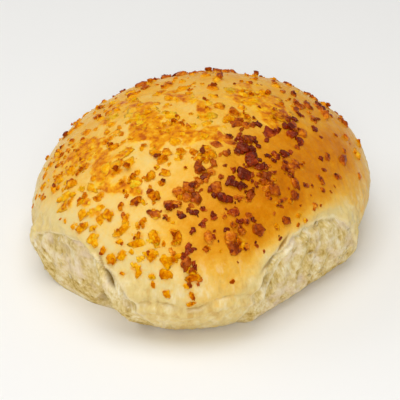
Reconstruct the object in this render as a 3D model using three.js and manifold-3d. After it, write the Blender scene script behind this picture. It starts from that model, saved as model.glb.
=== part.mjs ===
// A soft pull-apart bread roll with minced onion baked onto its crust, millimetres, +Z up.
// The origin is the middle of the underside. The roll stood in a square batch, so it was torn
// from a neighbour on each of its four sides: +X, +Y, -X and -Y. Its smooth crust comes down
// to the table only at the corners between them.
import * as THREE from 'three';
import { mergeVertices } from 'three/addons/utils/BufferGeometryUtils.js';
import Module from 'manifold-3d';

// Driving dimensions of the loaf, in millimetres and degrees.
const HEIGHT = 47.5;
const RADIUS = 51; // mean radius at the widest level
const WIDEST_LEVEL = 16;
const DOME_POWER = 1.2; // 1 is an ellipse, more is a flatter shoulder
const OVAL = { share: 0.065, bearing: 106 }; // longer along this bearing, by this share
const CORNER = { share: 0.023, bearing: -47 }; // pulled out here and at 120 degrees from it
const FOOT_SHARE = 0.83; // radius of the underside over the widest radius
const FOOT_POWER = 1.85;
const CROWN_LEAN = 2; // how far the crown leans towards +Y
const EDGE = { level: 2.5, inset: 1.4 }; // rounding where the side meets the underside
const CENTRE = { x: -0.07, y: 0.36 }; // moves the middle of the finished box onto the origin

// Soft swells of the crust: height and length of the waves, fading out at the widest level.
const SWELL = { height: 0.35, length: 31 };

// The fold where the front corner's crust tucks over its foot. rise: how much higher it runs at
// its +Y end than in the middle.
const FOLD = { bearing: -47, halfSpan: 30, level: 14.3, rise: 1.3, wave: 1.2, halfWidth: 1.5, depth: 0.8 };

// A torn side leans back from its foot and is bounded by an arch. reach: distance from the
// axis at foot level. left, right: half spans as seen from outside. top: height of the arch.
// swing: lean across its span. under: how far it tucks in below the foot level. dip: how far
// its right end falls back towards the corner.
const TORN_SIDES = [
  { bearing: 0, reach: 42, left: 21.5, right: 23.5, top: 25.5, foot: 4.5, swing: -0.03, under: 3, dip: 0 },
  { bearing: 90, reach: 48, left: 20, right: 21, top: 23, foot: 5, swing: 0.02, under: 2.5, dip: 0 },
  { bearing: 180, reach: 42.5, left: 20, right: 25, top: 24, foot: 4.5, swing: 0.02, under: 2, dip: 0 },
  { bearing: 270, reach: 44.5, left: 27.5, right: 16, top: 24, foot: 4, swing: -0.06, under: 0, dip: 3 },
];
// The arches where the crust ends, one for each torn side. tilt raises the left half.
const CRUST_EDGES = [
  { left: 24.5, right: 21.5, top: 24.8, tilt: 0.09 },
  { left: 20, right: 21, top: 23, tilt: 0.05 },
  { left: 20, right: 25, top: 24, tilt: -0.05 },
  { left: 23, right: 25, top: 24.3, tilt: 0 },
];
const TORN_SLOPE = 0.15; // outward lean of the torn faces, mm for each mm of height
const ARCH_POWER = 2.4;
const ARCH_BLEND = 0.21; // softness of the arch's edge, as a share of its span
const PULL = { foot: 5, top: -1.5 }; // furthest that the crumb stands past the round form
// Lumps of the torn crumb, which grow from the underside up to this level.
const CRUMB = { height: 0.6, across: 7, along: 15, fullFrom: 9 };

// How finely the loaf is divided. A row of the dome nearer the crown has fewer columns.
const COLUMNS = 100;
const QUARTERED_ROWS = 4;
const HALVED_ROWS = 9;
const DOME_ROWS = 20;
const SIDE_ROWS = 9;

// The topping: heaps where it landed thickest, then an even sprinkle. Places are in
// millimetres on the plan of a round loaf of the mean radius.
const HEAPS = [
  { x: 16, y: 2, pieces: 9, spread: 4.5 },
  { x: 22, y: -5, pieces: 10, spread: 5 },
  { x: 25.5, y: 14.5, pieces: 6, spread: 3.5 },
  { x: 32.5, y: 2, pieces: 6, spread: 3.5 },
  { x: 31, y: -8, pieces: 9, spread: 4.5 },
  { x: 18, y: -16, pieces: 9, spread: 4.5 },
  { x: 10, y: -23, pieces: 7, spread: 4 },
  { x: 22, y: -22, pieces: 7, spread: 4 },
  { x: 31, y: -17, pieces: 6, spread: 4.5 },
  { x: 11, y: -32, pieces: 8, spread: 5 },
  { x: 22, y: -29, pieces: 8, spread: 4.5 },
  { x: 35.5, y: -22, pieces: 7, spread: 4 },
  { x: 2.5, y: -43, pieces: 6, spread: 4 },
  { x: -9, y: -42, pieces: 6, spread: 4.5 },
  { x: 17, y: -43.5, pieces: 8, spread: 4.5 },
  { x: 24, y: -36, pieces: 6, spread: 4.5 },
  { x: 33.5, y: -36, pieces: 5, spread: 3 },
  { x: 2.5, y: -13.5, pieces: 7, spread: 4 },
  { x: -27, y: -32, pieces: 6, spread: 4.5 },
  { x: -10, y: -26, pieces: 7, spread: 5 },
  { x: -25, y: -16, pieces: 5, spread: 4.5 },
  { x: 7, y: 14, pieces: 5, spread: 4 },
  { x: 15, y: 24, pieces: 8, spread: 6 },
];
const SPRINKLE = { pieces: 270, reach: 47.5, scatter: 2.6 };
const BARE = { x: 41, y: 10, radius: 13, share: 0.7 }; // thinly covered shoulder
const PIECE = { shortest: 1.5, longest: 4.2, sunk: 0.3 };
const CLEAR = 0.8; // pieces keep this far from the edge of the crust
const FUSED_FROM = 2.9; // pieces at least this long are part of the solid
const TOPPING_SEED = 20;

const GOLDEN_ANGLE = Math.PI * (3 - Math.sqrt(5));
const radians = THREE.MathUtils.degToRad;
const { clamp, lerp, smoothstep } = THREE.MathUtils;

// Repeatable random numbers between 0 and 1.
class Draw {
  constructor(seed) {
    this.state = seed;
  }

  next() {
    this.state = (Math.imul(this.state, 1664525) + 1013904223) >>> 0;
    return this.state / 2 ** 32;
  }

  between(low, high) {
    return lerp(low, high, this.next());
  }
}

// Widest radius of the loaf towards a bearing.
function planRadius(bearing) {
  const oval = OVAL.share * Math.cos(2 * (bearing - radians(OVAL.bearing)));
  const corner = CORNER.share * Math.cos(3 * (bearing - radians(CORNER.bearing)));
  return RADIUS * (1 + oval + corner);
}

// Height of the dome where it has a share of its widest radius.
function domeLevel(share) {
  const upright = Math.sqrt(Math.max(1 - share * share, 0));
  return WIDEST_LEVEL + (HEIGHT - WIDEST_LEVEL) * upright ** DOME_POWER;
}

// Share of the widest radius on the side below the dome.
function sideShare(level) {
  const drop = (WIDEST_LEVEL - level) / WIDEST_LEVEL;
  const rounding = (EDGE.inset / RADIUS) * clamp(1 - level / EDGE.level, 0, 1) ** 2;
  return 1 - (1 - FOOT_SHARE) * drop ** FOOT_POWER - rounding;
}

// Groove of the fold, and the lip of the foot below it, in millimetres outwards.
function foldRelief(bearing, level) {
  const turn = bearing - radians(FOLD.bearing);
  const offset = Math.atan2(Math.sin(turn), Math.cos(turn)) / radians(FOLD.halfSpan);
  const fade = 1 - smoothstep(Math.abs(offset), 0.6, 1);
  const middle = FOLD.level + FOLD.rise * offset - FOLD.wave * Math.cos(9 * offset);
  const across = (level - middle) / FOLD.halfWidth;
  const groove = -Math.exp(-across * across);
  const lip = 0.8 * Math.exp(-((across + 1.6) ** 2));
  return FOLD.depth * fade * (groove + lip);
}

// Lumps and drawn-out strands of a torn face.
function crumbRelief(along, level, phase) {
  const drift = Math.sin(level / 4) + 1.4 * Math.sin(along / 6 + phase);
  const strands = Math.sin((2 * Math.PI * along) / CRUMB.across + phase + drift);
  const lumps = Math.sin((2 * Math.PI * level) / CRUMB.along + along / 5 + 2 * phase);
  return CRUMB.height * smoothstep(level, 0, CRUMB.fullFrom) * (0.55 * strands + 0.45 * lumps);
}

// How far a place at a torn side lies inside the edge of its crust. Negative is on the crust.
function insideEdge(edge, foot, along, level) {
  const lifted = Math.max(level - foot + edge.tilt * along, 0);
  const across = Math.abs(along) / (along > 0 ? edge.right : edge.left);
  const upwards = lifted / (edge.top - foot);
  const inward = (across ** ARCH_POWER + upwards ** ARCH_POWER) ** (1 / ARCH_POWER);
  return (Math.hypot(along, lifted) * (1 - inward)) / Math.max(inward, 0.05);
}

// Moves a point of the round form onto one torn side. Returns how far it is torn crumb, from
// 0 to 1, and how far inside the edge of the crust it lies.
function tearSide(point, side, index) {
  const turn = radians(side.bearing);
  const out = point.x * Math.cos(turn) + point.y * Math.sin(turn);
  const along = point.y * Math.cos(turn) - point.x * Math.sin(turn);
  const level = point.z;
  const span = along > 0 ? side.right : side.left;
  const rise = Math.max(level - side.foot, 0) / (side.top - side.foot);
  const arch = Math.abs(along / span) ** ARCH_POWER + rise ** ARCH_POWER;
  const here = out > side.reach / 2;
  const torn = here ? 1 - smoothstep(arch, 1 - ARCH_BLEND, 1 + ARCH_BLEND) : 0;
  const tuck = side.under * clamp(1 - level / side.foot, 0, 1) ** 2;
  const dip = side.dip * smoothstep(along / side.right, -0.1, 0.8);
  const face = side.reach + TORN_SLOPE * (level - side.foot) + side.swing * along - tuck - dip;
  const furthest = out + lerp(PULL.foot, PULL.top, clamp(level / side.top, 0, 1));
  const move = torn * (Math.min(face, furthest) - out + crumbRelief(along, level, index));
  point.x += move * Math.cos(turn);
  point.y += move * Math.sin(turn);
  return { torn, inside: here ? insideEdge(CRUST_EDGES[index], side.foot, along, level) : -RADIUS };
}

// A point of the finished surface, from a bearing, a share of the widest radius and a level.
// Returns the point, how far it is torn crumb, and how far inside an edge of the crust it lies.
function loafPoint(bearing, share, level) {
  const swellFade = smoothstep(level, WIDEST_LEVEL, HEIGHT - 8);
  const radius = (planRadius(bearing) + foldRelief(bearing, level)) * share;
  const point = new THREE.Vector3(radius * Math.cos(bearing), radius * Math.sin(bearing), level);
  const wavesX = Math.sin((2 * Math.PI * point.x) / SWELL.length + 1);
  const wavesY = Math.cos((2 * Math.PI * point.y) / SWELL.length);
  point.z += SWELL.height * swellFade * wavesX * wavesY;
  point.y += CROWN_LEAN * (level / HEIGHT) ** 2;
  const tears = TORN_SIDES.map((side, index) => tearSide(point, side, index));
  point.x -= CENTRE.x;
  point.y -= CENTRE.y;
  const torn = Math.max(...tears.map((tear) => tear.torn));
  const inside = Math.max(...tears.map((tear) => tear.inside));
  return { point, torn, inside };
}

// Half section of the round form: out along the underside, up the side and over the dome.
function loafProfile() {
  const profile = [new THREE.Vector2(0, 0)];
  for (let row = 0; row < SIDE_ROWS; row += 1) {
    const level = (row / SIDE_ROWS) * WIDEST_LEVEL;
    profile.push(new THREE.Vector2(sideShare(level), level));
  }
  for (let row = DOME_ROWS; row >= 0; row -= 1) {
    const share = Math.sin((row / DOME_ROWS) * (Math.PI / 2));
    profile.push(new THREE.Vector2(share, domeLevel(share)));
  }
  return profile;
}

// The bare loaf: a lathe of the half section, with every vertex moved to its finished place.
function loafSolid(wasm) {
  const profile = loafProfile();
  const lathe = new THREE.LatheGeometry(profile, COLUMNS);
  const crown = profile.length - 1;
  const places = [];
  for (let column = 0; column < COLUMNS; column += 1) {
    const bearing = (column / COLUMNS) * 2 * Math.PI;
    for (const { x: share, y: level } of profile) {
      places.push(...loafPoint(bearing, share, level).point);
    }
  }
  // The lathe repeats its first column, and has each end of the profile once a column.
  const weld = (index) => {
    const row = index % profile.length;
    const column = Math.floor(index / profile.length) % COLUMNS;
    const below = crown - row;
    const stride = below < HALVED_ROWS ? (below < QUARTERED_ROWS ? 4 : 2) : 1;
    return row === 0 || row === crown ? row : (column - (column % stride)) * profile.length + row;
  };
  return solidOf(wasm, places, Array.from(lathe.index.array, weld));
}

// A closed solid from vertex places and triangle corners. Empty triangles are dropped.
function solidOf(wasm, places, corners) {
  const triangles = [];
  for (let first = 0; first < corners.length; first += 3) {
    const [a, b, c] = corners.slice(first, first + 3);
    if (a !== b && b !== c && c !== a) {
      triangles.push(a, b, c);
    }
  }
  const mesh = new wasm.Mesh({
    numProp: 3,
    vertProperties: new Float32Array(places),
    triVerts: new Uint32Array(triangles),
  });
  mesh.merge();
  return new wasm.Manifold(mesh);
}

// Where a place on the plan comes to lie on the crust, the crust's normal there, and whether
// the place is clear of the torn crumb.
function crustAt(x, y) {
  const bearing = Math.atan2(y, x);
  const share = Math.min(Math.hypot(x, y) / RADIUS, 0.999);
  const step = 0.01;
  const { point, torn, inside } = loafPoint(bearing, share, domeLevel(share));
  const outer = Math.min(share + step, 0.9999);
  const inner = Math.max(outer - 2 * step, 0);
  const above = loafPoint(bearing, inner, domeLevel(inner)).point;
  const below = loafPoint(bearing, outer, domeLevel(outer)).point;
  const before = loafPoint(bearing - step, share, domeLevel(share)).point;
  const after = loafPoint(bearing + step, share, domeLevel(share)).point;
  const normal = below.sub(above).cross(after.sub(before)).normalize();
  return { point, normal, clear: torn < 0.02 && inside < -CLEAR };
}

// One piece of topping with its own size, turn and lie, or null where the loaf stays bare.
function toppingPiece(x, y, draw, keep) {
  const length = lerp(PIECE.shortest, PIECE.longest, draw.next() ** 1.5);
  const width = length * draw.between(0.6, 0.95);
  const thickness = length * draw.between(0.35, 0.55);
  const turn = draw.between(0, Math.PI);
  const spot = crustAt(x, y);
  return keep > draw.next() && spot.clear ? { ...spot, length, width, thickness, turn } : null;
}

// All pieces of topping, heaps first.
function scatterTopping() {
  const draw = new Draw(TOPPING_SEED);
  const pieces = [];
  for (const heap of HEAPS) {
    for (let number = 0; number < heap.pieces; number += 1) {
      const distance = heap.spread * Math.sqrt((number + 0.3) / heap.pieces);
      const turn = number * GOLDEN_ANGLE + heap.x;
      const x = heap.x + distance * Math.cos(turn);
      const y = heap.y + distance * Math.sin(turn);
      pieces.push(toppingPiece(x, y, draw, 1));
    }
  }
  for (let number = 0; number < SPRINKLE.pieces; number += 1) {
    const distance = SPRINKLE.reach * Math.sqrt((number + 0.5) / SPRINKLE.pieces);
    const turn = number * GOLDEN_ANGLE;
    const x = distance * Math.cos(turn) + draw.between(-1, 1) * SPRINKLE.scatter;
    const y = distance * Math.sin(turn) + draw.between(-1, 1) * SPRINKLE.scatter;
    const bareness = ((x - BARE.x) ** 2 + (y - BARE.y) ** 2) / BARE.radius ** 2;
    pieces.push(toppingPiece(x, y, draw, 1 - BARE.share * Math.exp(-bareness)));
  }
  return pieces.filter(Boolean);
}

// A chip of onion: an uneven icosahedron, lying flat on the crust and partly sunk in it.
function chipSolid(wasm, piece, draw) {
  const chip = new THREE.IcosahedronGeometry(0.5);
  chip.deleteAttribute('normal');
  chip.deleteAttribute('uv');
  const merged = mergeVertices(chip);
  const place = merged.getAttribute('position');
  for (let index = 0; index < place.count; index += 1) {
    const corner = new THREE.Vector3().fromBufferAttribute(place, index);
    place.setXYZ(index, ...corner.multiplyScalar(draw.between(0.85, 1.2)));
  }
  const upright = new THREE.Quaternion().setFromUnitVectors(new THREE.Vector3(0, 0, 1), piece.normal);
  const lift = piece.thickness * (0.5 - PIECE.sunk);
  merged.scale(piece.length, piece.width, piece.thickness);
  merged.rotateZ(piece.turn);
  merged.applyQuaternion(upright);
  merged.translate(...piece.point.clone().addScaledVector(piece.normal, lift));
  return solidOf(wasm, Array.from(place.array), Array.from(merged.index.array));
}

// The loaf with its larger pieces of topping fused on.
async function rollGeometry() {
  const wasm = await Module();
  wasm.setup();
  const draw = new Draw(TOPPING_SEED + 1);
  const fused = scatterTopping().filter((piece) => piece.length >= FUSED_FROM);
  const whole = fused.reduce((solid, piece) => solid.add(chipSolid(wasm, piece, draw)), loafSolid(wasm));
  const mesh = whole.getMesh();
  const geometry = new THREE.BufferGeometry();
  geometry.setAttribute('position', new THREE.BufferAttribute(mesh.vertProperties, mesh.numProp));
  geometry.setIndex(new THREE.BufferAttribute(mesh.triVerts, 1));
  geometry.computeVertexNormals();
  return geometry;
}

const crust = new THREE.MeshStandardMaterial({ color: '#d99a45', roughness: 0.5, metalness: 0 });
const roll = new THREE.Mesh(await rollGeometry(), crust);
roll.name = 'bread_roll';

const group = new THREE.Group();
group.add(roll);

export default group;
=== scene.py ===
"""A soft pull-apart bread roll with minced onion baked onto its egg-washed crust.

Sizes in the classes are millimetres and degrees, +Z up, with the origin in the middle of the
underside. The roll stood in a square batch, so it was torn from a neighbour on each of its
four sides, and its crust comes down to the table only at the corners between them.
"""

import logging
import math
from dataclasses import dataclass, field
from enum import Enum

import bpy
import numpy as np
from mathutils import Matrix, Vector, noise

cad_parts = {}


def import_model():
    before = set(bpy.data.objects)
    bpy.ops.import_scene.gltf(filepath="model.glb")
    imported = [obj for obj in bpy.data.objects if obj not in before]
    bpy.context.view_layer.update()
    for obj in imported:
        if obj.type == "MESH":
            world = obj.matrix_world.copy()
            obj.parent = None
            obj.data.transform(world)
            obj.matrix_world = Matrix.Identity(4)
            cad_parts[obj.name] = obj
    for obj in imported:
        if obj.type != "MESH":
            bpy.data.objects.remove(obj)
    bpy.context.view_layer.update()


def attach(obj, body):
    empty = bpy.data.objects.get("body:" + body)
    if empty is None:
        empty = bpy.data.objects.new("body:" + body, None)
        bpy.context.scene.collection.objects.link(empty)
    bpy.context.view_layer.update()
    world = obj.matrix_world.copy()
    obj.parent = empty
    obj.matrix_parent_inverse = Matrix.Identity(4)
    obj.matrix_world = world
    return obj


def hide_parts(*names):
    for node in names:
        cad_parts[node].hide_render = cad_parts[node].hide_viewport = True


log = logging.getLogger("roll")

MM = 0.001
NODE = "bread_roll"
BODY = "root"
GOLDEN_ANGLE = math.pi * (3 - math.sqrt(5))

Array = np.ndarray
Tree = bpy.types.NodeTree
Socket = bpy.types.NodeSocket
Sockets = bpy.types.NodeOutputs
Span = tuple[float, ...]
Stops = tuple[tuple[float, str], ...]


def linear(colour: str, alpha: float = 1.0) -> tuple[float, float, float, float]:
    """Turns an sRGB hex colour into the linear colour that a shader takes.

    Args:
        colour: six hex digits, with or without a leading hash.
        alpha: the fourth value of the result.

    Returns:
        Linear red, green and blue, and alpha.
    """
    digits = colour.lstrip("#")
    parts = [int(digits[place : place + 2], 16) / 255 for place in (0, 2, 4)]
    red, green, blue = (p / 12.92 if p <= 0.04045 else ((p + 0.055) / 1.055) ** 2.4 for p in parts)
    return red, green, blue, alpha


def per_mm(size: float) -> float:
    """Returns the texture scale, on coordinates in metres, of a pattern of this size in mm."""
    return 1 / (size * MM)


def smoothstep(value: Array, low: float, high: float) -> Array:
    """Returns 0 below low, 1 above high and a smooth rise between them."""
    share = np.clip((value - low) / (high - low), 0, 1)
    return share * share * (3 - 2 * share)


def noise_at(places: Array, size: float, octaves: int = 2, shift: float = 0.0) -> Array:
    """Gives a soft random field.

    Args:
        places: points in millimetres, one a row.
        size: the size of its largest lumps, in millimetres.
        octaves: how many finer layers are summed.
        shift: moves the field, so that two fields differ.

    Returns:
        One value for each point, mostly between -1 and 1.
    """
    scaled = places / size + shift
    values = [noise.fractal(Vector(place), 0.8, 2.0, octaves) for place in scaled.tolist()]
    return np.array(values)


def add(
    tree: Tree,
    kind: str,
    inputs: dict[str | int, object] | tuple = (),
    out: str | int = 0,
    **settings: object,
) -> Socket | None:
    """Adds one node with its settings and links.

    Args:
        tree: the tree that gets the node.
        kind: the node's type name.
        inputs: values, or the outputs that are linked there, by the inputs' names or numbers,
            or in a tuple from the first input on.
        out: the name or number of the output that is wanted.
        settings: values of the node's own properties.

    Returns:
        The wanted output, or None where the node has no outputs.
    """
    node = tree.nodes.new(kind)
    for name, value in settings.items():
        setattr(node, name, value)
    for key, value in inputs.items() if isinstance(inputs, dict) else enumerate(inputs):
        if isinstance(value, Socket):
            tree.links.new(value, node.inputs[key])
        else:
            node.inputs[key].default_value = value
    return node.outputs[out] if node.outputs else None


def ramped(colour: Socket, stops: Stops) -> Socket:
    """Sets the colours of a colour ramp.

    Args:
        colour: the ramp's output.
        stops: the place and the sRGB hex colour of each stop, in order.

    Returns:
        The same output.
    """
    elements = colour.node.color_ramp.elements
    while len(elements) < len(stops):
        elements.new(1.0)
    for element, (place, digits) in zip(elements, stops):
        element.position = place
        element.color = linear(digits)
    return colour


class Draw:
    """Repeatable random numbers between 0 and 1."""

    def __init__(self, seed: int) -> None:
        """Starts the numbers from a seed."""
        self.state = seed

    def next(self) -> float:
        """Returns the next number."""
        self.state = (self.state * 1664525 + 1013904223) % 2**32
        return self.state / 2**32

    def between(self, low: float, high: float) -> float:
        """Returns the next number, scaled to a range."""
        return low + (high - low) * self.next()

    def around(self, x: float, y: float, wide: float, deep: float) -> tuple[float, float]:
        """Returns a place on an oval round a point, towards a bearing from the next number."""
        turn = self.between(0, 2 * math.pi)
        return x + wide * math.cos(turn), y + deep * math.sin(turn)


@dataclass(frozen=True)
class TornSide:
    """One side where the roll was pulled from its neighbour, bounded by an arch.

    left and right are half spans as seen from outside. swing leans the face across its span,
    under tucks it in below the foot level, and dip lets its right end fall back. The edges are
    the half spans and the top of the arch where the crust ends, and tilt raises its left side.
    slant turns the drawn-out strands away from upright.
    """

    bearing: float
    reach: float
    left: float
    right: float
    top: float
    foot: float
    swing: float
    under: float
    dip: float
    edge_left: float
    edge_right: float
    edge_top: float
    tilt: float
    slant: float


@dataclass(frozen=True)
class Surface:
    """Points of the loaf in millimetres, with what is known about each.

    torn is how far a point has moved onto a torn side, from 0 to 1. gap is how far inside the
    arch of that side it lies, along is its place across that side, and strand gives its place
    along, out of and up it. side is the number of the side, or -1 away from all of them.
    """

    place: Array
    torn: Array
    gap: Array
    along: Array
    strand: Array
    side: Array


@dataclass(frozen=True)
class LoafForm:
    """The rule for the loaf's form, the same as that of the solid that it stands for."""

    height: float = 47.5
    radius: float = 51.0
    widest_level: float = 16.0
    dome_power: float = 1.2
    oval_share: float = 0.065
    oval_bearing: float = 106.0
    corner_share: float = 0.023
    corner_bearing: float = -47.0
    foot_share: float = 0.83
    foot_power: float = 1.85
    crown_lean: float = 2.0
    edge_level: float = 2.5
    edge_inset: float = 1.4
    centre_x: float = -0.07
    centre_y: float = 0.36
    swell_height: float = 0.35
    swell_length: float = 31.0
    swell_margin: float = 8.0
    fold_bearing: float = -47.0
    fold_span: float = 30.0
    fold_level: float = 14.3
    fold_rise: float = 1.3
    fold_wave: float = 1.2
    fold_waves: float = 9.0
    fold_full: float = 0.6
    fold_width: float = 1.5
    fold_depth: float = 0.8
    lip_share: float = 0.8
    lip_drop: float = 1.6
    torn_slope: float = 0.15
    arch_power: float = 2.4
    arch_blend: float = 0.21
    pull_foot: float = 5.0
    pull_top: float = -1.5
    crumb_height: float = 0.6
    crumb_across: float = 7.0
    crumb_along: float = 15.0
    crumb_rise: float = 9.0
    strand_share: float = 0.55
    lump_share: float = 0.45
    sides: tuple[TornSide, ...] = (
        TornSide(0, 42, 21.5, 23.5, 25.5, 4.5, -0.03, 3, 0, 24.5, 21.5, 24.8, 0.09, 0.4),
        TornSide(90, 48, 20, 21, 23, 5, 0.02, 2.5, 0, 20, 21, 23, 0.05, 0.2),
        TornSide(180, 42.5, 20, 25, 24, 4.5, 0.02, 2, 0, 20, 25, 24, -0.05, -0.3),
        TornSide(270, 44.5, 27.5, 16, 24, 4, -0.06, 0, 3, 23.5, 25, 23.0, -0.1, 0.0),
    )

    def plan_radius(self, bearing: Array) -> Array:
        """Returns the widest radius towards a bearing in radians."""
        oval = self.oval_share * np.cos(2 * (bearing - math.radians(self.oval_bearing)))
        corner = self.corner_share * np.cos(3 * (bearing - math.radians(self.corner_bearing)))
        return self.radius * (1 + oval + corner)

    def dome_level(self, share: Array) -> Array:
        """Returns the height of the dome where it has a share of its widest radius."""
        upright = np.sqrt(np.maximum(1 - share * share, 0))
        return self.widest_level + (self.height - self.widest_level) * upright**self.dome_power

    def side_share(self, level: Array) -> Array:
        """Returns the share of the widest radius on the side below the dome."""
        drop = np.maximum(self.widest_level - level, 0) / self.widest_level
        rounding = self.edge_inset / self.radius * np.clip(1 - level / self.edge_level, 0, 1) ** 2
        return 1 - (1 - self.foot_share) * drop**self.foot_power - rounding

    def fold_place(self, bearing: Array, level: Array) -> tuple[Array, Array]:
        """Finds a point's place at the fold above the front corner's foot.

        Args:
            bearing: of the point, in radians.
            level: of the point, in millimetres.

        Returns:
            Its height above the fold's line in half widths, and how strong the fold is there.
        """
        turn = bearing - math.radians(self.fold_bearing)
        offset = np.arctan2(np.sin(turn), np.cos(turn)) / math.radians(self.fold_span)
        wave = self.fold_wave * np.cos(self.fold_waves * offset)
        middle = self.fold_level + self.fold_rise * offset - wave
        return (level - middle) / self.fold_width, 1 - smoothstep(np.abs(offset), self.fold_full, 1)

    def fold_relief(self, bearing: Array, level: Array) -> Array:
        """Returns the groove of the fold and the lip of the foot below it, outwards in mm."""
        across, fade = self.fold_place(bearing, level)
        lip = self.lip_share * np.exp(-((across + self.lip_drop) ** 2))
        return self.fold_depth * fade * (lip - np.exp(-(across**2)))

    def crumb_relief(self, along: Array, level: Array, phase: float) -> Array:
        """Returns the lumps and drawn-out strands of a torn face, in millimetres."""
        drift = np.sin(level / 4) + 1.4 * np.sin(along / 6 + phase)
        strands = np.sin(2 * np.pi * along / self.crumb_across + phase + drift)
        lumps = np.sin(2 * np.pi * level / self.crumb_along + along / 5 + 2 * phase)
        mixed = self.strand_share * strands + self.lump_share * lumps
        return self.crumb_height * smoothstep(level, 0, self.crumb_rise) * mixed

    def surface(self, bearing: Array, share: Array, level: Array) -> Surface:
        """Works out points of the finished surface.

        Args:
            bearing: of each point, in radians.
            share: of the widest radius.
            level: height on the round form, in millimetres.

        Returns:
            The points and what is known about them.
        """
        radius = (self.plan_radius(bearing) + self.fold_relief(bearing, level)) * share
        x = radius * np.cos(bearing)
        y = radius * np.sin(bearing)
        fade = smoothstep(level, self.widest_level, self.height - self.swell_margin)
        waves = np.sin(2 * np.pi * x / self.swell_length + 1) * np.cos(2 * np.pi * y / self.swell_length)
        z = level + self.swell_height * fade * waves
        y = y + self.crown_lean * (level / self.height) ** 2
        torn = np.zeros_like(x)
        gap = np.full_like(x, -self.radius)
        across = np.zeros_like(x)
        number = np.full_like(x, -1.0)
        strand = np.stack([x, y, z], axis=-1)
        for index, side in enumerate(self.sides):
            cos, sin = math.cos(math.radians(side.bearing)), math.sin(math.radians(side.bearing))
            out = x * cos + y * sin
            along = y * cos - x * sin
            span = np.where(along > 0, side.right, side.left)
            above = np.maximum(z - side.foot, 0)
            rise = above / (side.top - side.foot)
            arch = np.abs(along / span) ** self.arch_power + rise**self.arch_power
            here = out > side.reach / 2
            share_torn = np.where(here, 1 - smoothstep(arch, 1 - self.arch_blend, 1 + self.arch_blend), 0)
            tuck = side.under * np.clip(1 - z / side.foot, 0, 1) ** 2
            dip = side.dip * smoothstep(along / side.right, -0.1, 0.8)
            face = side.reach + self.torn_slope * (z - side.foot) + side.swing * along - tuck - dip
            pull = self.pull_foot + (self.pull_top - self.pull_foot) * np.clip(z / side.top, 0, 1)
            crumb = self.crumb_relief(along, z, index)
            move = share_torn * (np.minimum(face, out + pull) - out + crumb)
            x = x + move * cos
            y = y + move * sin
            torn = np.maximum(torn, share_torn)
            wide = np.where(along > 0, side.edge_right, side.edge_left)
            lifted = np.maximum(z - side.foot + side.tilt * along, 0)
            tall = side.edge_top - side.foot
            inward = np.abs(along / wide) ** self.arch_power + (lifted / tall) ** self.arch_power
            inward = inward ** (1 / self.arch_power)
            reach = np.where(inward > 0.05, np.hypot(along, lifted) / np.maximum(inward, 0.05), wide)
            side_gap = reach * (1 - inward)
            nearer = here & (side_gap > gap)
            gap = np.where(nearer, side_gap, gap)
            across = np.where(nearer, along, across)
            number = np.where(nearer, index, number)
            lean = np.stack([along + side.slant * z + 90 * index, out, z], axis=-1)
            strand = np.where(nearer[..., None], lean, strand)
        place = np.stack([x - self.centre_x, y - self.centre_y, z], axis=-1)
        return Surface(place, torn, gap, across, strand, number)

    def skin(self, x: Array, y: Array) -> tuple[Surface, Array]:
        """Finds where places on a plan, with the side laid flat round it, come to lie.

        Args:
            x: of each place, in millimetres.
            y: of each place, in millimetres.

        Returns:
            The points of the surface, and its normal at each.
        """
        bearing = np.arctan2(y, x)
        away = np.hypot(x, y)
        step = 0.01

        def point(turned: float, moved: float) -> Surface:
            """Works out the places with their bearing turned and moved outwards by a share."""
            reach = np.maximum(away + moved * self.radius, 0)
            share = np.minimum(reach / self.radius, 1)
            side_level = np.maximum(self.widest_level + self.radius - reach, 0)
            on_dome = reach < self.radius
            level = np.where(on_dome, self.dome_level(share), side_level)
            share = np.where(on_dome, share, self.side_share(side_level))
            return self.surface(bearing + turned, share, level)

        outwards = point(0, step).place - point(0, -step).place
        sideways = point(step, 0).place - point(-step, 0).place
        normal = np.cross(outwards, sideways)
        return point(0, 0), normal / np.linalg.norm(normal, axis=-1, keepdims=True)


@dataclass(frozen=True)
class Patch:
    """A soft-edged spot on the plan of a round loaf of the mean radius."""

    x: float
    y: float
    wide: float
    deep: float
    strength: float

    def at(self, x: Array, y: Array) -> Array:
        """Returns the spot's strength at places on the plan."""
        away = ((x - self.x) / self.wide) ** 2 + ((y - self.y) / self.deep) ** 2
        return self.strength * np.exp(-away)


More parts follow.
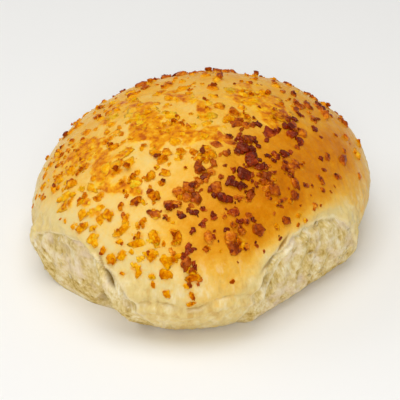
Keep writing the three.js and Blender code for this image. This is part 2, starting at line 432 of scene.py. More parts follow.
@dataclass(frozen=True)
class Baking:
    """How far the oven has coloured the crust and the topping, from place to place."""

    toast_base: float = 0.34
    toast_patches: tuple[Patch, ...] = (
        Patch(33, 6, 13, 27, 0.47), Patch(24, 34, 17, 13, 0.17), Patch(-8, 24, 26, 20, 0.14),
        Patch(0, -48, 40, 10, -0.14), Patch(-44, -8, 12, 24, -0.1), Patch(37, -19, 12, 11, 0.2),
        Patch(45, -3, 8, 14, 0.28), Patch(40, 14, 8, 12, 0.04), Patch(25, -12, 6, 6, 0.1),
        Patch(30, 28, 9, 7, 0.06), Patch(26, -25, 12, 7, 0.1), Patch(40, -24, 8, 7, 0.06),
        Patch(-5, -46, 8, 4, -0.08), Patch(46, 12, 5, 12, -0.1), Patch(27, -44, 9, 5, -0.08),
        Patch(12, -35, 14, 8, -0.1), Patch(2, -26, 22, 16, -0.13), Patch(-25, -8, 10, 15, 0.1),
        Patch(-18, -38, 10, 6, 0.06), Patch(25, -32, 9, 6, 0.1), Patch(29, -31, 8, 5, 0.11),
        Patch(5, -31, 11, 6, 0.09), Patch(-12, -33, 8, 6, 0.06), Patch(37, 6, 7, 8, -0.04),
    )
    soak_patches: tuple[Patch, ...] = (
        Patch(-10, -13, 8, 4.5, 1.0), Patch(-9, -3, 6, 2.5, 0.9), Patch(3, -3, 6, 3, 0.8),
        Patch(11, 15, 8, 4.5, 1.0), Patch(5, 8, 5, 3, 0.8), Patch(-2, 16, 4, 4, 0.5),
        Patch(7, -14, 5, 3.5, 1.0), Patch(1, -21, 7, 3.5, 1.0), Patch(-5, -18, 5, 3, 0.9),
        Patch(13, -9, 5, 3, 1.0), Patch(19, 10, 5, 4, 0.8), Patch(-3, -28, 5, 2.5, 0.7),
        Patch(-15, -32, 7, 3.5, 1.0), Patch(-20, -37, 5, 2.5, 0.6), Patch(-8, -30, 4, 2, 0.6),
        Patch(-1, -35, 6, 3, 1.1), Patch(9, -34, 5, 2.5, 0.7), Patch(-14, -27, 4, 2, 0.5),
        Patch(2, -42, 5, 2, 0.6), Patch(17, -43, 4, 2, 0.5), Patch(-7, -43, 4, 2, 0.5),
        Patch(-19, -20, 5, 4, 0.6), Patch(-22, -28, 5, 3, 0.6), Patch(-24, -12, 5, 4, 0.5),
    )
    char_base: float = 0.34
    char_patches: tuple[Patch, ...] = (
        Patch(26, -2, 11, 30, 0.58), Patch(18, 27, 16, 12, 0.16), Patch(15, -16, 6, 5, -0.25),
        Patch(-32, 14, 14, 22, 0.4), Patch(0, 42, 30, 12, 0.35), Patch(44, 0, 8, 30, 0.28),
        Patch(42, 22, 12, 18, 0.22), Patch(8, -46, 26, 9, -0.26), Patch(-10, -12, 12, 10, -0.3),
        Patch(10, 13, 8, 5, -0.3), Patch(2, -14, 4, 4, 0.2), Patch(30, -26, 10, 8, 0.26),
    )

    def toast(self, x: Array, y: Array) -> Array:
        """Returns how browned the crust is at places on the plan."""
        return self.toast_base + sum(patch.at(x, y) for patch in self.toast_patches)

    def soak(self, x: Array, y: Array) -> Array:
        """Returns how far onion juice and oil have soaked into the crust."""
        return sum(patch.at(x, y) for patch in self.soak_patches)

    def char(self, x: float, y: float) -> float:
        """Returns how dark the topping is at a place on the plan."""
        return float(self.char_base + sum(patch.at(x, y) for patch in self.char_patches))


@dataclass(frozen=True)
class Finish:
    """A procedural material, to which each kind of finish adds its own nodes.

    In the finishes below, a span says where a pattern starts and ends, and what it gives at
    each where that isn't 0 and 1. A share is how much of a pattern goes in, a stretch how far
    it is drawn out upwards, and the middle is taken off the sum.
    """

    name: str

    def make(self) -> bpy.types.Material:
        """Builds and returns the material."""
        material = bpy.data.materials.new(self.name)
        material.use_nodes = True
        tree = material.node_tree
        tree.nodes.clear()
        add(tree, "ShaderNodeOutputMaterial", {"Surface": self.shader(tree)})
        return material

    def shader(self, tree: Tree) -> Socket:
        """Adds the finish's nodes and returns its shader."""
        raise NotImplementedError


@dataclass(frozen=True)
class EggWashedCrust(Finish):
    """Egg-washed enriched dough, baked: a thin satin skin over pale crumb.

    It lets a little light into the crumb, so it looks soft, and the egg gives a broad gloss.
    """

    name: str = "egg_washed_crust"
    browning: Stops = (
        (0.0, "#E5CB86"),
        (0.2, "#ECC46A"),
        (0.4, "#EAB03C"),
        (0.6, "#E09618"),
        (0.8, "#D27C00"),
        (1.0, "#B66200"),
    )
    soaked: Stops = ((0.59, "#F2BE34"), (0.73, "#E99C05"), (0.84, "#DB8200"), (0.94, "#BC5A00"))
    # painted shade: the colour of the creases' bottoms and of the line under the crust's lip
    painted_shade: str = "#98661C"
    # painted highlight: the colour of the lit lip, the ridges and the pale patches low down
    painted_highlight: str = "#F4E4B8"
    streak: str = "#CFA452"
    mottle_mm: float = 6.0
    mottle_share: float = 0.5
    fleck_mm: float = 1.2
    fleck_share: float = 0.26
    fleck_start: float = -0.38
    soaked_mm: float = 2.2
    soaked_share: float = 0.3
    wet_share: float = 0.9
    wet_span: Span = (0.6, 1.3)
    streak_mm: float = 3.0
    streak_stretch: float = 0.35
    streak_span: Span = (0.52, 0.66, 0.0, 0.75)
    # where the pale patches of painted highlight come low on the crust, from the streak noise
    highlight_patch_span: Span = (0.47, 0.32, 0.0, 0.7)
    pucker_mm: float = 1.1
    pucker_height_mm: float = 0.2
    blister_mm: float = 2.2
    blister_span: Span = (0.1, 0.24, 0.25, 0.0)

    def shader(self, tree: Tree) -> Socket:
        """Adds the finish's nodes and returns its shader."""
        place = add(tree, "ShaderNodeTexCoord", out="Object")
        upright = add(
            tree, "ShaderNodeVectorMath", (place, (1.0, 1.0, self.streak_stretch)), operation="MULTIPLY"
        )
        toast, soak, painted_shade, painted_highlight, low = (
            add(tree, "ShaderNodeAttribute", out="Fac", attribute_name=name)
            for name in ("toast", "soak", "painted_shade", "painted_highlight", "low")
        )
        mottle, fleck, pucker, syrup, streaks = (
            add(
                tree,
                "ShaderNodeTexNoise",
                {"Vector": where, "Scale": per_mm(size), "Detail": 3.0, "Roughness": roughness},
            )
            for where, size, roughness in (
                (place, self.mottle_mm, 0.6),
                (place, self.fleck_mm, 0.6),
                (place, self.pucker_mm, 0.6),
                (place, self.soaked_mm, 0.6),
                (upright, self.streak_mm, 0.65),
            )
        )
        broad, small, steeped, ragged = (
            add(tree, "ShaderNodeMath", terms, operation="MULTIPLY_ADD")
            for terms in (
                (mottle, self.mottle_share, toast),
                (fleck, self.fleck_share, self.fleck_start),
                (soak, self.soaked_share, syrup),
                (fleck, self.wet_share, soak),
            )
        )
        browned = add(tree, "ShaderNodeMath", (broad, small), operation="ADD")
        colour = ramped(add(tree, "ShaderNodeValToRGB", (browned,)), self.browning)
        soaked = ramped(add(tree, "ShaderNodeValToRGB", (steeped,)), self.soaked)
        cells = add(tree, "ShaderNodeTexVoronoi", {"Vector": place, "Scale": per_mm(self.blister_mm)})
        wet, blisters = (
            add(tree, "ShaderNodeMapRange", (value, *span), interpolation_type="SMOOTHSTEP")
            for value, span in ((ragged, self.wet_span), (cells, self.blister_span))
        )
        streaked, highlight_patches = (
            add(tree, "ShaderNodeMapRange", (streaks, *span))
            for span in (self.streak_span, self.highlight_patch_span)
        )
        # the streaks are ochre stains; the pale patches low on the crust are painted highlight
        stained, pale = (
            add(tree, "ShaderNodeMath", (share, low), operation="MULTIPLY") for share in (streaked, highlight_patches)
        )
        for amount, over in (
            (stained, linear(self.streak)),
            (pale, linear(self.painted_highlight)),
            (wet, soaked),
            # painted shade in the creases and under the lip, then painted highlight on the lip and ridges
            (painted_shade, linear(self.painted_shade)),
            (painted_highlight, linear(self.painted_highlight)),
        ):
            colour = add(tree, "ShaderNodeMix", {0: amount, 6: colour, 7: over}, 2, data_type="RGBA")
        rough_skin = add(tree, "ShaderNodeMath", (pucker, blisters), operation="ADD")
        bump = add(
            tree,
            "ShaderNodeBump",
            {"Strength": 0.8, "Distance": self.pucker_height_mm * MM, "Height": rough_skin},
        )
        return add(
            tree,
            "ShaderNodeBsdfPrincipled",
            {
                "Base Color": colour,
                "Normal": bump,
                "Roughness": 0.36,
                "IOR": 1.45,
                "Specular IOR Level": 0.24,
                "Specular Tint": (1.0, 0.74, 0.3, 1.0),
                "Subsurface Weight": 0.12,
                "Subsurface Radius": (1.0, 0.6, 0.25),
                "Subsurface Scale": 1.4 * MM,
            },
        )


@dataclass(frozen=True)
class TornCrumb(Finish):
    """Open wheat crumb pulled apart: matte, drawn into soft strands, with khaki painted shade in its
    hollows and painted highlight on its raised strands.
    """

    name: str = "torn_crumb"
    # painted shade and highlight: khaki where the crumb is sunk, cream where it stands out
    depth: Stops = (
        (0.12, "#A27E36"),
        (0.29, "#C6A658"),
        (0.43, "#DABF7A"),
        (0.56, "#E6CF94"),
        (0.72, "#F2E2B6"),
        (0.88, "#FBF2DA"),
    )
    blush: str = "#F0DCC6"
    # painted shade: the colour of the creases' bottoms and of the line under the crust's lip
    painted_shade: str = "#84682A"
    # painted highlight: the colour of the lit lip and the ridges
    painted_highlight: str = "#F4E6C2"
    fibre_mm: float = 0.55
    strand_mm: float = 1.6
    strand_stretch: float = 0.3
    strand_share: float = 1.2
    texture_share: float = 0.62
    cloud_mm: float = 4.5
    cloud_share: float = 0.9
    middle: float = 1.13
    blush_mm: float = 7.0
    blush_span: Span = (0.5, 0.66, 0.0, 0.6)
    fibre_height_mm: float = 0.13

    def shader(self, tree: Tree) -> Socket:
        """Adds the finish's nodes and returns its shader."""
        strand = add(tree, "ShaderNodeAttribute", out="Vector", attribute_name="strand")
        relief, painted_shade, painted_highlight = (
            add(tree, "ShaderNodeAttribute", out="Fac", attribute_name=name)
            for name in ("relief", "painted_shade", "painted_highlight")
        )
        drawn = add(
            tree, "ShaderNodeVectorMath", (strand, (1.0, 1.0, self.strand_stretch)), operation="MULTIPLY"
        )
        fibre, strands, cloud, blushed = (
            add(
                tree,
                "ShaderNodeTexNoise",
                {"Vector": where, "Scale": 1 / size, "Detail": 3.0, "Roughness": 0.6},
            )
            for where, size in (
                (drawn, self.fibre_mm),
                (drawn, self.strand_mm),
                (strand, self.cloud_mm),
                (strand, self.blush_mm),
            )
        )
        height = add(tree, "ShaderNodeMath", (strands, self.strand_share, fibre), operation="MULTIPLY_ADD")
        tone = add(tree, "ShaderNodeMath", (height, self.texture_share, relief), operation="MULTIPLY_ADD")
        clouded = add(tree, "ShaderNodeMath", (cloud, self.cloud_share, tone), operation="MULTIPLY_ADD")
        centred = add(tree, "ShaderNodeMath", (clouded, self.middle), operation="SUBTRACT")
        # painted shade and highlight: the ramp darkens the hollows and lightens the raised strands and
        # lumps, with random clouds
        colour = ramped(add(tree, "ShaderNodeValToRGB", (centred,)), self.depth)
        tint = add(tree, "ShaderNodeMapRange", (blushed, *self.blush_span))
        # a random blush, then painted shade in the creases and under the lip, then painted highlight on the
        # lip and ridges
        for amount, over in ((tint, self.blush), (painted_shade, self.painted_shade), (painted_highlight, self.painted_highlight)):
            mix = {0: amount, 6: colour, 7: linear(over)}
            colour = add(tree, "ShaderNodeMix", mix, 2, data_type="RGBA")
        bump = add(
            tree,
            "ShaderNodeBump",
            {"Strength": 0.9, "Distance": self.fibre_height_mm * MM, "Height": height},
        )
        return add(
            tree,
            "ShaderNodeBsdfPrincipled",
            {
                "Base Color": colour,
                "Normal": bump,
                "Roughness": 0.85,
                "IOR": 1.4,
                "Specular IOR Level": 0.2,
                "Subsurface Weight": 0.15,
                "Subsurface Radius": (1.0, 0.75, 0.4),
                "Subsurface Scale": 1.5 * MM,
            },
        )


@dataclass(frozen=True)
class ShredCrumb(Finish):
    """Thin shreds of crumb, dried a little at their tips: matte cream."""

    name: str = "shred_crumb"
    colours: Stops = ((0.2, "#C6AE74"), (0.5, "#D9C391"), (0.8, "#EADAB2"))
    grain_mm: float = 0.8
    grain_share: float = 0.8
    middle: float = 0.4
    grain_height_mm: float = 0.1

    def shader(self, tree: Tree) -> Socket:
        """Adds the finish's nodes and returns its shader."""
        place = add(tree, "ShaderNodeTexCoord", out="Object")
        shade = add(tree, "ShaderNodeAttribute", out="Fac", attribute_name="shade")
        grain = add(
            tree,
            "ShaderNodeTexNoise",
            {"Vector": place, "Scale": per_mm(self.grain_mm), "Detail": 2.0, "Roughness": 0.6},
        )
        mixed = add(tree, "ShaderNodeMath", (grain, self.grain_share, shade), operation="MULTIPLY_ADD")
        centred = add(tree, "ShaderNodeMath", (mixed, self.middle), operation="SUBTRACT")
        colour = ramped(add(tree, "ShaderNodeValToRGB", (centred,)), self.colours)
        bump = add(
            tree,
            "ShaderNodeBump",
            {"Strength": 0.5, "Distance": self.grain_height_mm * MM, "Height": grain},
        )
        return add(
            tree,
            "ShaderNodeBsdfPrincipled",
            {
                "Base Color": colour,
                "Normal": bump,
                "Roughness": 0.85,
                "Specular IOR Level": 0.2,
                "Subsurface Weight": 0.2,
                "Subsurface Radius": (1.0, 0.75, 0.4),
                "Subsurface Scale": 1.0 * MM,
            },
        )


@dataclass(frozen=True)
class BakedBase(Finish):
    """The dry underside, baked on a floured tray: matte tan with paler cloudy patches."""

    name: str = "tray_baked_base"
    browning: Stops = ((0.3, "#E8CB8E"), (0.5, "#D6A862"), (0.72, "#BA8542"))
    cloud_mm: float = 9.0
    pore_mm: float = 0.9
    pore_depth_mm: float = 0.15

    def shader(self, tree: Tree) -> Socket:
        """Adds the finish's nodes and returns its shader."""
        place = add(tree, "ShaderNodeTexCoord", out="Object")
        cloud, pores = (
            add(
                tree,
                "ShaderNodeTexNoise",
                {"Vector": place, "Scale": per_mm(size), "Detail": 4.0, "Roughness": 0.65},
            )
            for size in (self.cloud_mm, self.pore_mm)
        )
        colour = ramped(add(tree, "ShaderNodeValToRGB", (cloud,)), self.browning)
        bump = add(
            tree, "ShaderNodeBump", {"Strength": 0.6, "Distance": self.pore_depth_mm * MM, "Height": pores}
        )
        return add(
            tree,
            "ShaderNodeBsdfPrincipled",
            {"Base Color": colour, "Normal": bump, "Roughness": 0.75, "IOR": 1.45},
        )


@dataclass(frozen=True)
class BakedOnion(Finish):
    """Minced onion fried in the oven's heat: waxy and part clear, darker on its raised edges.

    Its foot is the melted edge on the crust, and melt is how far that shows the foot's colour.
    """

    colours: Stops
    foot: str
    melt: float
    gloss: float
    contrast: float
    glint: tuple[float, float, float] = (1.0, 0.55, 0.12)
    roughness: float = 0.36
    clear: float = 0.3
    crinkle_mm: float = 0.8
    crinkle_height_mm: float = 0.28
    toasting_mm: float = 2.4
    toasting_share: float = 1.4
    middle: float = 1.2
    rise_share: float = 0.5
    melt_span: Span = (0.02, 0.2)

    def shader(self, tree: Tree) -> Socket:
        """Adds the finish's nodes and returns its shader."""
        place = add(tree, "ShaderNodeTexCoord", out="Object")
        shade, tip, lift = (
            add(tree, "ShaderNodeAttribute", out="Fac", attribute_name=name)
            for name in ("shade", "tip", "lift")
        )
        crinkle, toasting = (
            add(
                tree,
                "ShaderNodeTexNoise",
                {"Vector": place, "Scale": per_mm(size), "Detail": 2.0, "Roughness": 0.65},
            )
            for size in (self.crinkle_mm, self.toasting_mm)
        )
        rise = add(tree, "ShaderNodeMath", (tip, lift), operation="ADD")
        both, raised = (
            add(tree, "ShaderNodeMath", terms, operation="MULTIPLY_ADD")
            for terms in ((toasting, self.toasting_share, crinkle), (rise, self.rise_share, shade))
        )
        own = add(
            tree,
            "ShaderNodeMath",
            (both, self.contrast, -self.middle * self.contrast),
            operation="MULTIPLY_ADD",
        )
        mixed = add(tree, "ShaderNodeMath", (raised, own), operation="ADD")
        baked = ramped(add(tree, "ShaderNodeValToRGB", (mixed,)), self.colours)
        melted = add(
            tree,
            "ShaderNodeMapRange",
            (rise, *self.melt_span, self.melt, 0.0),
            interpolation_type="SMOOTHSTEP",
        )
        mix = {0: melted, 6: baked, 7: linear(self.foot)}
        colour = add(tree, "ShaderNodeMix", mix, 2, data_type="RGBA")
        bump = add(
            tree,
            "ShaderNodeBump",
            {"Strength": 0.7, "Distance": self.crinkle_height_mm * MM, "Height": crinkle},
        )
        return add(
            tree,
            "ShaderNodeBsdfPrincipled",
            {
                "Base Color": colour,
                "Normal": bump,
                "Roughness": self.roughness,
                "IOR": 1.47,
                "Specular IOR Level": self.gloss,
                "Specular Tint": (*self.glint, 1.0),
                "Subsurface Weight": self.clear,
                "Subsurface Radius": (1.0, 0.5, 0.1),
                "Subsurface Scale": 0.8 * MM,
            },
        )


class Onion(Enum):
    """The kinds of topping, by how far they are baked, each with its finish."""

    GOLDEN = BakedOnion(
        "golden_onion",
        ((0.0, "#F8C42C"), (0.35, "#EEA604"), (0.65, "#E08A00"), (1.0, "#BE5C00")),
        foot="#F2B02E",
        melt=0.8,
        gloss=0.1,
        contrast=1.2,
    )
    AMBER = BakedOnion(
        "amber_onion",
        ((0.0, "#F8BE2A"), (0.3, "#ECA008"), (0.55, "#DC8200"), (0.8, "#C26000"), (1.0, "#983C00")),
        foot="#F0A428",
        melt=0.75,
        gloss=0.1,
        contrast=1.2,
    )
    TOASTED = BakedOnion(
        "toasted_onion",
        ((0.0, "#F2A028"), (0.25, "#DC7C08"), (0.5, "#BC5800"), (0.75, "#9C3C00"), (1.0, "#742400")),
        foot="#DC9630",
        melt=0.4,
        gloss=0.4,
        contrast=1.0,
        glint=(1.0, 0.6, 0.25),
        roughness=0.3,
        clear=0.12,
    )
    DARK = BakedOnion(
        "dark_onion",
        ((0.0, "#D2680A"), (0.22, "#B24602"), (0.45, "#922A00"), (0.7, "#781E00"), (1.0, "#5A1200")),
        foot="#A85C14",
        melt=0.25,
        gloss=0.34,
        contrast=1.1,
        glint=(1.0, 0.7, 0.45),
        roughness=0.24,
        clear=0.05,
    )


def grown(name: str, mesh: bpy.types.Mesh, tree: Tree, values: dict[str, object]) -> bpy.types.Object:
    """Runs a Geometry Nodes tree on a mesh and keeps the result as a plain smooth mesh.

    Args:
        name: of the new piece.
        mesh: what the tree starts from.
        tree: the tree, whose first socket is the geometry.
        values: for each named input, its value.

    Returns:
        The new piece, linked to the scene, with no modifier on it.
    """
    source = bpy.data.objects.new(name + "_source", mesh)
    bpy.context.scene.collection.objects.link(source)
    modifier = source.modifiers.new("shape", "NODES")
    modifier.node_group = tree
    sockets = {item.name: item.identifier for item in tree.interface.items_tree if item.in_out == "INPUT"}
    for key, value in values.items():
        modifier[sockets[key]] = value
    graph = bpy.context.evaluated_depsgraph_get()
    result = bpy.data.meshes.new_from_object(
        source.evaluated_get(graph), preserve_all_data_layers=True, depsgraph=graph
    )
    source.modifiers.remove(modifier)
    bpy.data.objects.remove(source)
    result.name = name
    result.polygons.foreach_set("use_smooth", [True] * len(result.polygons))
    piece = bpy.data.objects.new(name, result)
    bpy.context.scene.collection.objects.link(piece)
    return piece


def new_tree(name: str, numbers: tuple[str, ...], finishes: tuple[str, ...]) -> tuple[Tree, Sockets]:
    """Starts a Geometry Nodes tree.

    Args:
        name: of the tree.
        numbers: the names of its number inputs, which come after the geometry.
        finishes: the names of its material inputs, which come last.

    Returns:
        The tree and the sockets that bring in what it is given.
    """
    tree = bpy.data.node_groups.new(name, "GeometryNodeTree")
    tree.interface.new_socket("Geometry", in_out="INPUT", socket_type="NodeSocketGeometry")
    for kind, labels in (("NodeSocketFloat", numbers), ("NodeSocketMaterial", finishes)):
        for label in labels:
            tree.interface.new_socket(label, in_out="INPUT", socket_type=kind)
    tree.interface.new_socket("Geometry", in_out="OUTPUT", socket_type="NodeSocketGeometry")
    return tree, tree.nodes.new("NodeGroupInput").outputs


@dataclass
class Bit:
    """One small piece on the loaf: its place on the plan, its size in millimetres and its lie.

    lift is how far its middle stands above the surface, as a share of its thickness.
    """

    plan: tuple[float, float]
    length: float
    width: float
    thickness: float
    turn: float
    lift: float
    shade: float = 0.5
    kind: Onion = Onion.AMBER
    place: Array = field(default_factory=lambda: np.zeros(3))
    normal: Array = field(default_factory=lambda: np.zeros(3))


@dataclass(frozen=True)
class Cut:
    """How a kind of bit is cut: the ranges of its width and thickness, and its lift.

    Both ranges are shares of its length, except that a sheet's thickness is in millimetres.
    """

    width: Span
    thickness: Span
    lift: float
    sheet: bool = False

    def bit(self, plan: tuple[float, float], length: float, draw: Draw) -> Bit:
        """Draws one bit of this cut at a place on the plan."""
        width = length * draw.between(*self.width)
        thickness = draw.between(*self.thickness) * (1 if self.sheet else length)
        return Bit(plan, length, width, thickness, draw.between(0, math.pi), self.lift)


def settle(bits: list[Bit], form: LoafForm) -> Surface:
    """Lays bits on the loaf and returns the points of its surface where they lie."""
    plans = np.array([bit.plan for bit in bits])
    spots, normals = form.skin(plans[:, 0], plans[:, 1])
    for bit, place, normal in zip(bits, spots.place, normals):
        bit.place, bit.normal = place, normal
    return spots


@dataclass(frozen=True)
class Scatter:
    """How a crowd of small uneven pieces is made: each point becomes one, by its attributes.

    uneven is how far the plain shapes of one unit are pushed out of shape, and the crinkle
    share is the part of a piece's thickness by which its skin is crinkled. curl bends the
    longer shapes, worn rounds the block's corners, and halves are the place and the scale of
    each half of a pair. The details say how finely the long and the short pieces are divided,
    and apart is how far the variants lie from each other in the noise.
    """

    uneven: float
    uneven_size: float
    crinkle_share: float
    crinkle_size: float
    curl: float
    worn: float = 0.62
    variants: int = 3
    details: tuple[int, int] = (3, 2)
    coarse_below: float = 1.8
    block: tuple[float, float, float] = (0.9, 0.84, 0.8)
    halves: tuple[tuple[Span, Span], ...] = (
        ((0.3, 0.28, -0.05), (0.62, 0.6, 0.8)),
        ((-0.1, -0.1, 0.0), (0.8, 0.85, 1.0)),
    )
    apart: tuple[float, float] = (3.1, 1.7)

    def shapes(self, tree: Tree, given: Sockets, detail: int) -> list[Socket]:
        """Adds the plain shapes of about one unit.

        Args:
            tree: to add to.
            given: what it is given.
            detail: how many times the ball is subdivided.

        Returns:
            A ball, a bent one, a pair and a block with rounded corners.
        """
        ball = add(tree, "GeometryNodeMeshIcoSphere", {"Radius": 0.5, "Subdivisions": detail})
        place = add(tree, "GeometryNodeInputPosition")
        across = add(tree, "ShaderNodeSeparateXYZ", (place,), "X")
        bowed = add(tree, "ShaderNodeMath", (across, across), operation="MULTIPLY")
        rise = add(tree, "ShaderNodeMath", (bowed, given["Curl"]), operation="MULTIPLY")
        lift = add(tree, "ShaderNodeCombineXYZ", {"Z": rise})
        bent = add(tree, "GeometryNodeSetPosition", {"Geometry": ball, "Offset": lift})
        pair = add(tree, "GeometryNodeJoinGeometry")
        for shift, scale in self.halves:
            moved = {"Geometry": ball, "Translation": shift, "Scale": scale}
            tree.links.new(add(tree, "GeometryNodeTransform", moved), pair.node.inputs[0])
        grid = {"Vertices " + axis: detail + 2 for axis in "XYZ"}
        block = add(tree, "GeometryNodeMeshCube", {"Size": self.block} | grid)
        around = add(tree, "ShaderNodeVectorMath", (place,), operation="NORMALIZE")
        on_ball = add(tree, "ShaderNodeVectorMath", {0: around, "Scale": 0.5}, operation="SCALE")
        worn = add(tree, "ShaderNodeMix", {0: self.worn, 4: place, 5: on_ball}, 1, data_type="VECTOR")
        rounded = add(tree, "GeometryNodeSetPosition", {"Geometry": block, "Position": worn})
        return [ball, bent, pair, rounded]

    def tree(self) -> Tree:
        """Builds the tree that sets an uneven piece on every point."""
        tree, given = new_tree(
            "uneven_pieces", ("Uneven", "Uneven size", "Crinkle share", "Crinkle size", "Curl"), ("Finish",)
        )
        choice = add(tree, "GeometryNodeJoinGeometry")
        place = add(tree, "GeometryNodeInputPosition")
        height = add(tree, "ShaderNodeSeparateXYZ", (place,), "Z")
        fine, coarse = (self.shapes(tree, given, detail) * self.variants for detail in self.details)
        for number, shape in enumerate(fine + coarse):
            shift = (self.apart[0] * number, self.apart[1] * number, 0.0)
            far = add(tree, "ShaderNodeVectorMath", (place, shift), operation="ADD")
            pushed = self.pushed(tree, given, "Uneven", shape, far, given["Uneven"])
            tipped = add(
                tree,
                "GeometryNodeStoreNamedAttribute",
                {"Geometry": pushed, "Name": "tip", "Value": height},
                data_type="FLOAT",
            )
            single = add(tree, "GeometryNodeGeometryToInstance", (tipped,))
            tree.links.new(single, choice.node.inputs[0])
        size, normal, turn, pick = (
            add(tree, "GeometryNodeInputNamedAttribute", {"Name": name}, "Attribute", data_type=kind)
            for name, kind in (
                ("size", "FLOAT_VECTOR"),
                ("normal", "FLOAT_VECTOR"),
                ("turn", "FLOAT"),
                ("pick", "INT"),
            )
        )
        spin = add(tree, "ShaderNodeCombineXYZ", {"Z": turn})
        flat = add(tree, "FunctionNodeEulerToRotation", (spin,))
        upright = add(tree, "FunctionNodeAlignRotationToVector", {"Vector": normal}, axis="Z")
        crowd = add(
            tree,
            "GeometryNodeInstanceOnPoints",
            {
                "Points": given["Geometry"],
                "Instance": choice,
                "Pick Instance": True,
                "Instance Index": pick,
                "Rotation": add(
                    tree,
                    "FunctionNodeRotateRotation",
                    {"Rotation": upright, "Rotate By": flat},
                    rotation_space="LOCAL",
                ),
                "Scale": size,
            },
        )
        real = add(tree, "GeometryNodeRealizeInstances", (crowd,))
        thickness = add(tree, "ShaderNodeSeparateXYZ", (size,), "Z")
        amount = add(tree, "ShaderNodeMath", (thickness, given["Crinkle share"]), operation="MULTIPLY")
        crinkled = self.pushed(tree, given, "Crinkle", real, place, amount)
        whole = add(tree, "GeometryNodeRealizeInstances", (crinkled,))
        dressed = add(tree, "GeometryNodeSetMaterial", {"Geometry": whole, "Material": given["Finish"]})
        add(tree, "NodeGroupOutput", {"Geometry": dressed})
        return tree

    def pushed(
        self,
        tree: Tree,
        given: Sockets,
        label: str,
        shape: Socket,
        place: Socket,
        amount: Socket,
    ) -> Socket:
        """Pushes a shape's points about by noise.

        Args:
            tree: to add to.
            given: what it is given.
            label: of the input that has the size of the lumps.
            shape: the geometry.
            place: where in the noise each point is.
            amount: how far the points go.

        Returns:
            The pushed geometry.
        """
        scale = add(tree, "ShaderNodeMath", (1.0, given[label + " size"]), operation="DIVIDE")
        lumps = add(tree, "ShaderNodeTexNoise", {"Vector": place, "Scale": scale, "Detail": 1.5}, "Color")
        centred = add(tree, "ShaderNodeVectorMath", (lumps, (0.5, 0.5, 0.5)), operation="SUBTRACT")
        offset = add(tree, "ShaderNodeVectorMath", {0: centred, "Scale": amount}, operation="SCALE")
        return add(tree, "GeometryNodeSetPosition", {"Geometry": shape, "Offset": offset})

    def build(self, name: str, bits: list[Bit], finish: bpy.types.Material, seed: int) -> bpy.types.Object:
        """Makes one piece out of all the bits.

        Args:
            name: of the piece.
            bits: what it is made of, already laid on the loaf.
            finish: its material.
            seed: of the draw among the plain shapes.

        Returns:
            The piece, as a plain mesh.
        """
        draw = Draw(seed)
        mesh = bpy.data.meshes.new(name)
        mesh.from_pydata([(bit.place + bit.normal * bit.lift * bit.thickness) * MM for bit in bits], [], [])
        sizes = [(bit.length * MM, bit.width * MM, bit.thickness * MM) for bit in bits]
        for label, rows in (("size", sizes), ("normal", [bit.normal for bit in bits])):
            layer = mesh.attributes.new(label, "FLOAT_VECTOR", "POINT")
            layer.data.foreach_set("vector", np.array(rows).ravel())
        for label in ("turn", "shade", "lift"):
            row = [getattr(bit, label) for bit in bits]
            mesh.attributes.new(label, "FLOAT", "POINT").data.foreach_set("value", row)
        kinds = 4 * self.variants
        picks = [int(draw.next() * kinds) + kinds * (bit.length < self.coarse_below) for bit in bits]
        mesh.attributes.new("pick", "INT", "POINT").data.foreach_set("value", picks)
        values = {
            "Uneven": self.uneven,
            "Uneven size": self.uneven_size,
            "Crinkle share": self.crinkle_share,
            "Crinkle size": self.crinkle_size * MM,
            "Curl": self.curl,
            "Finish": finish,
        }
        return grown(name, mesh, self.tree(), values)


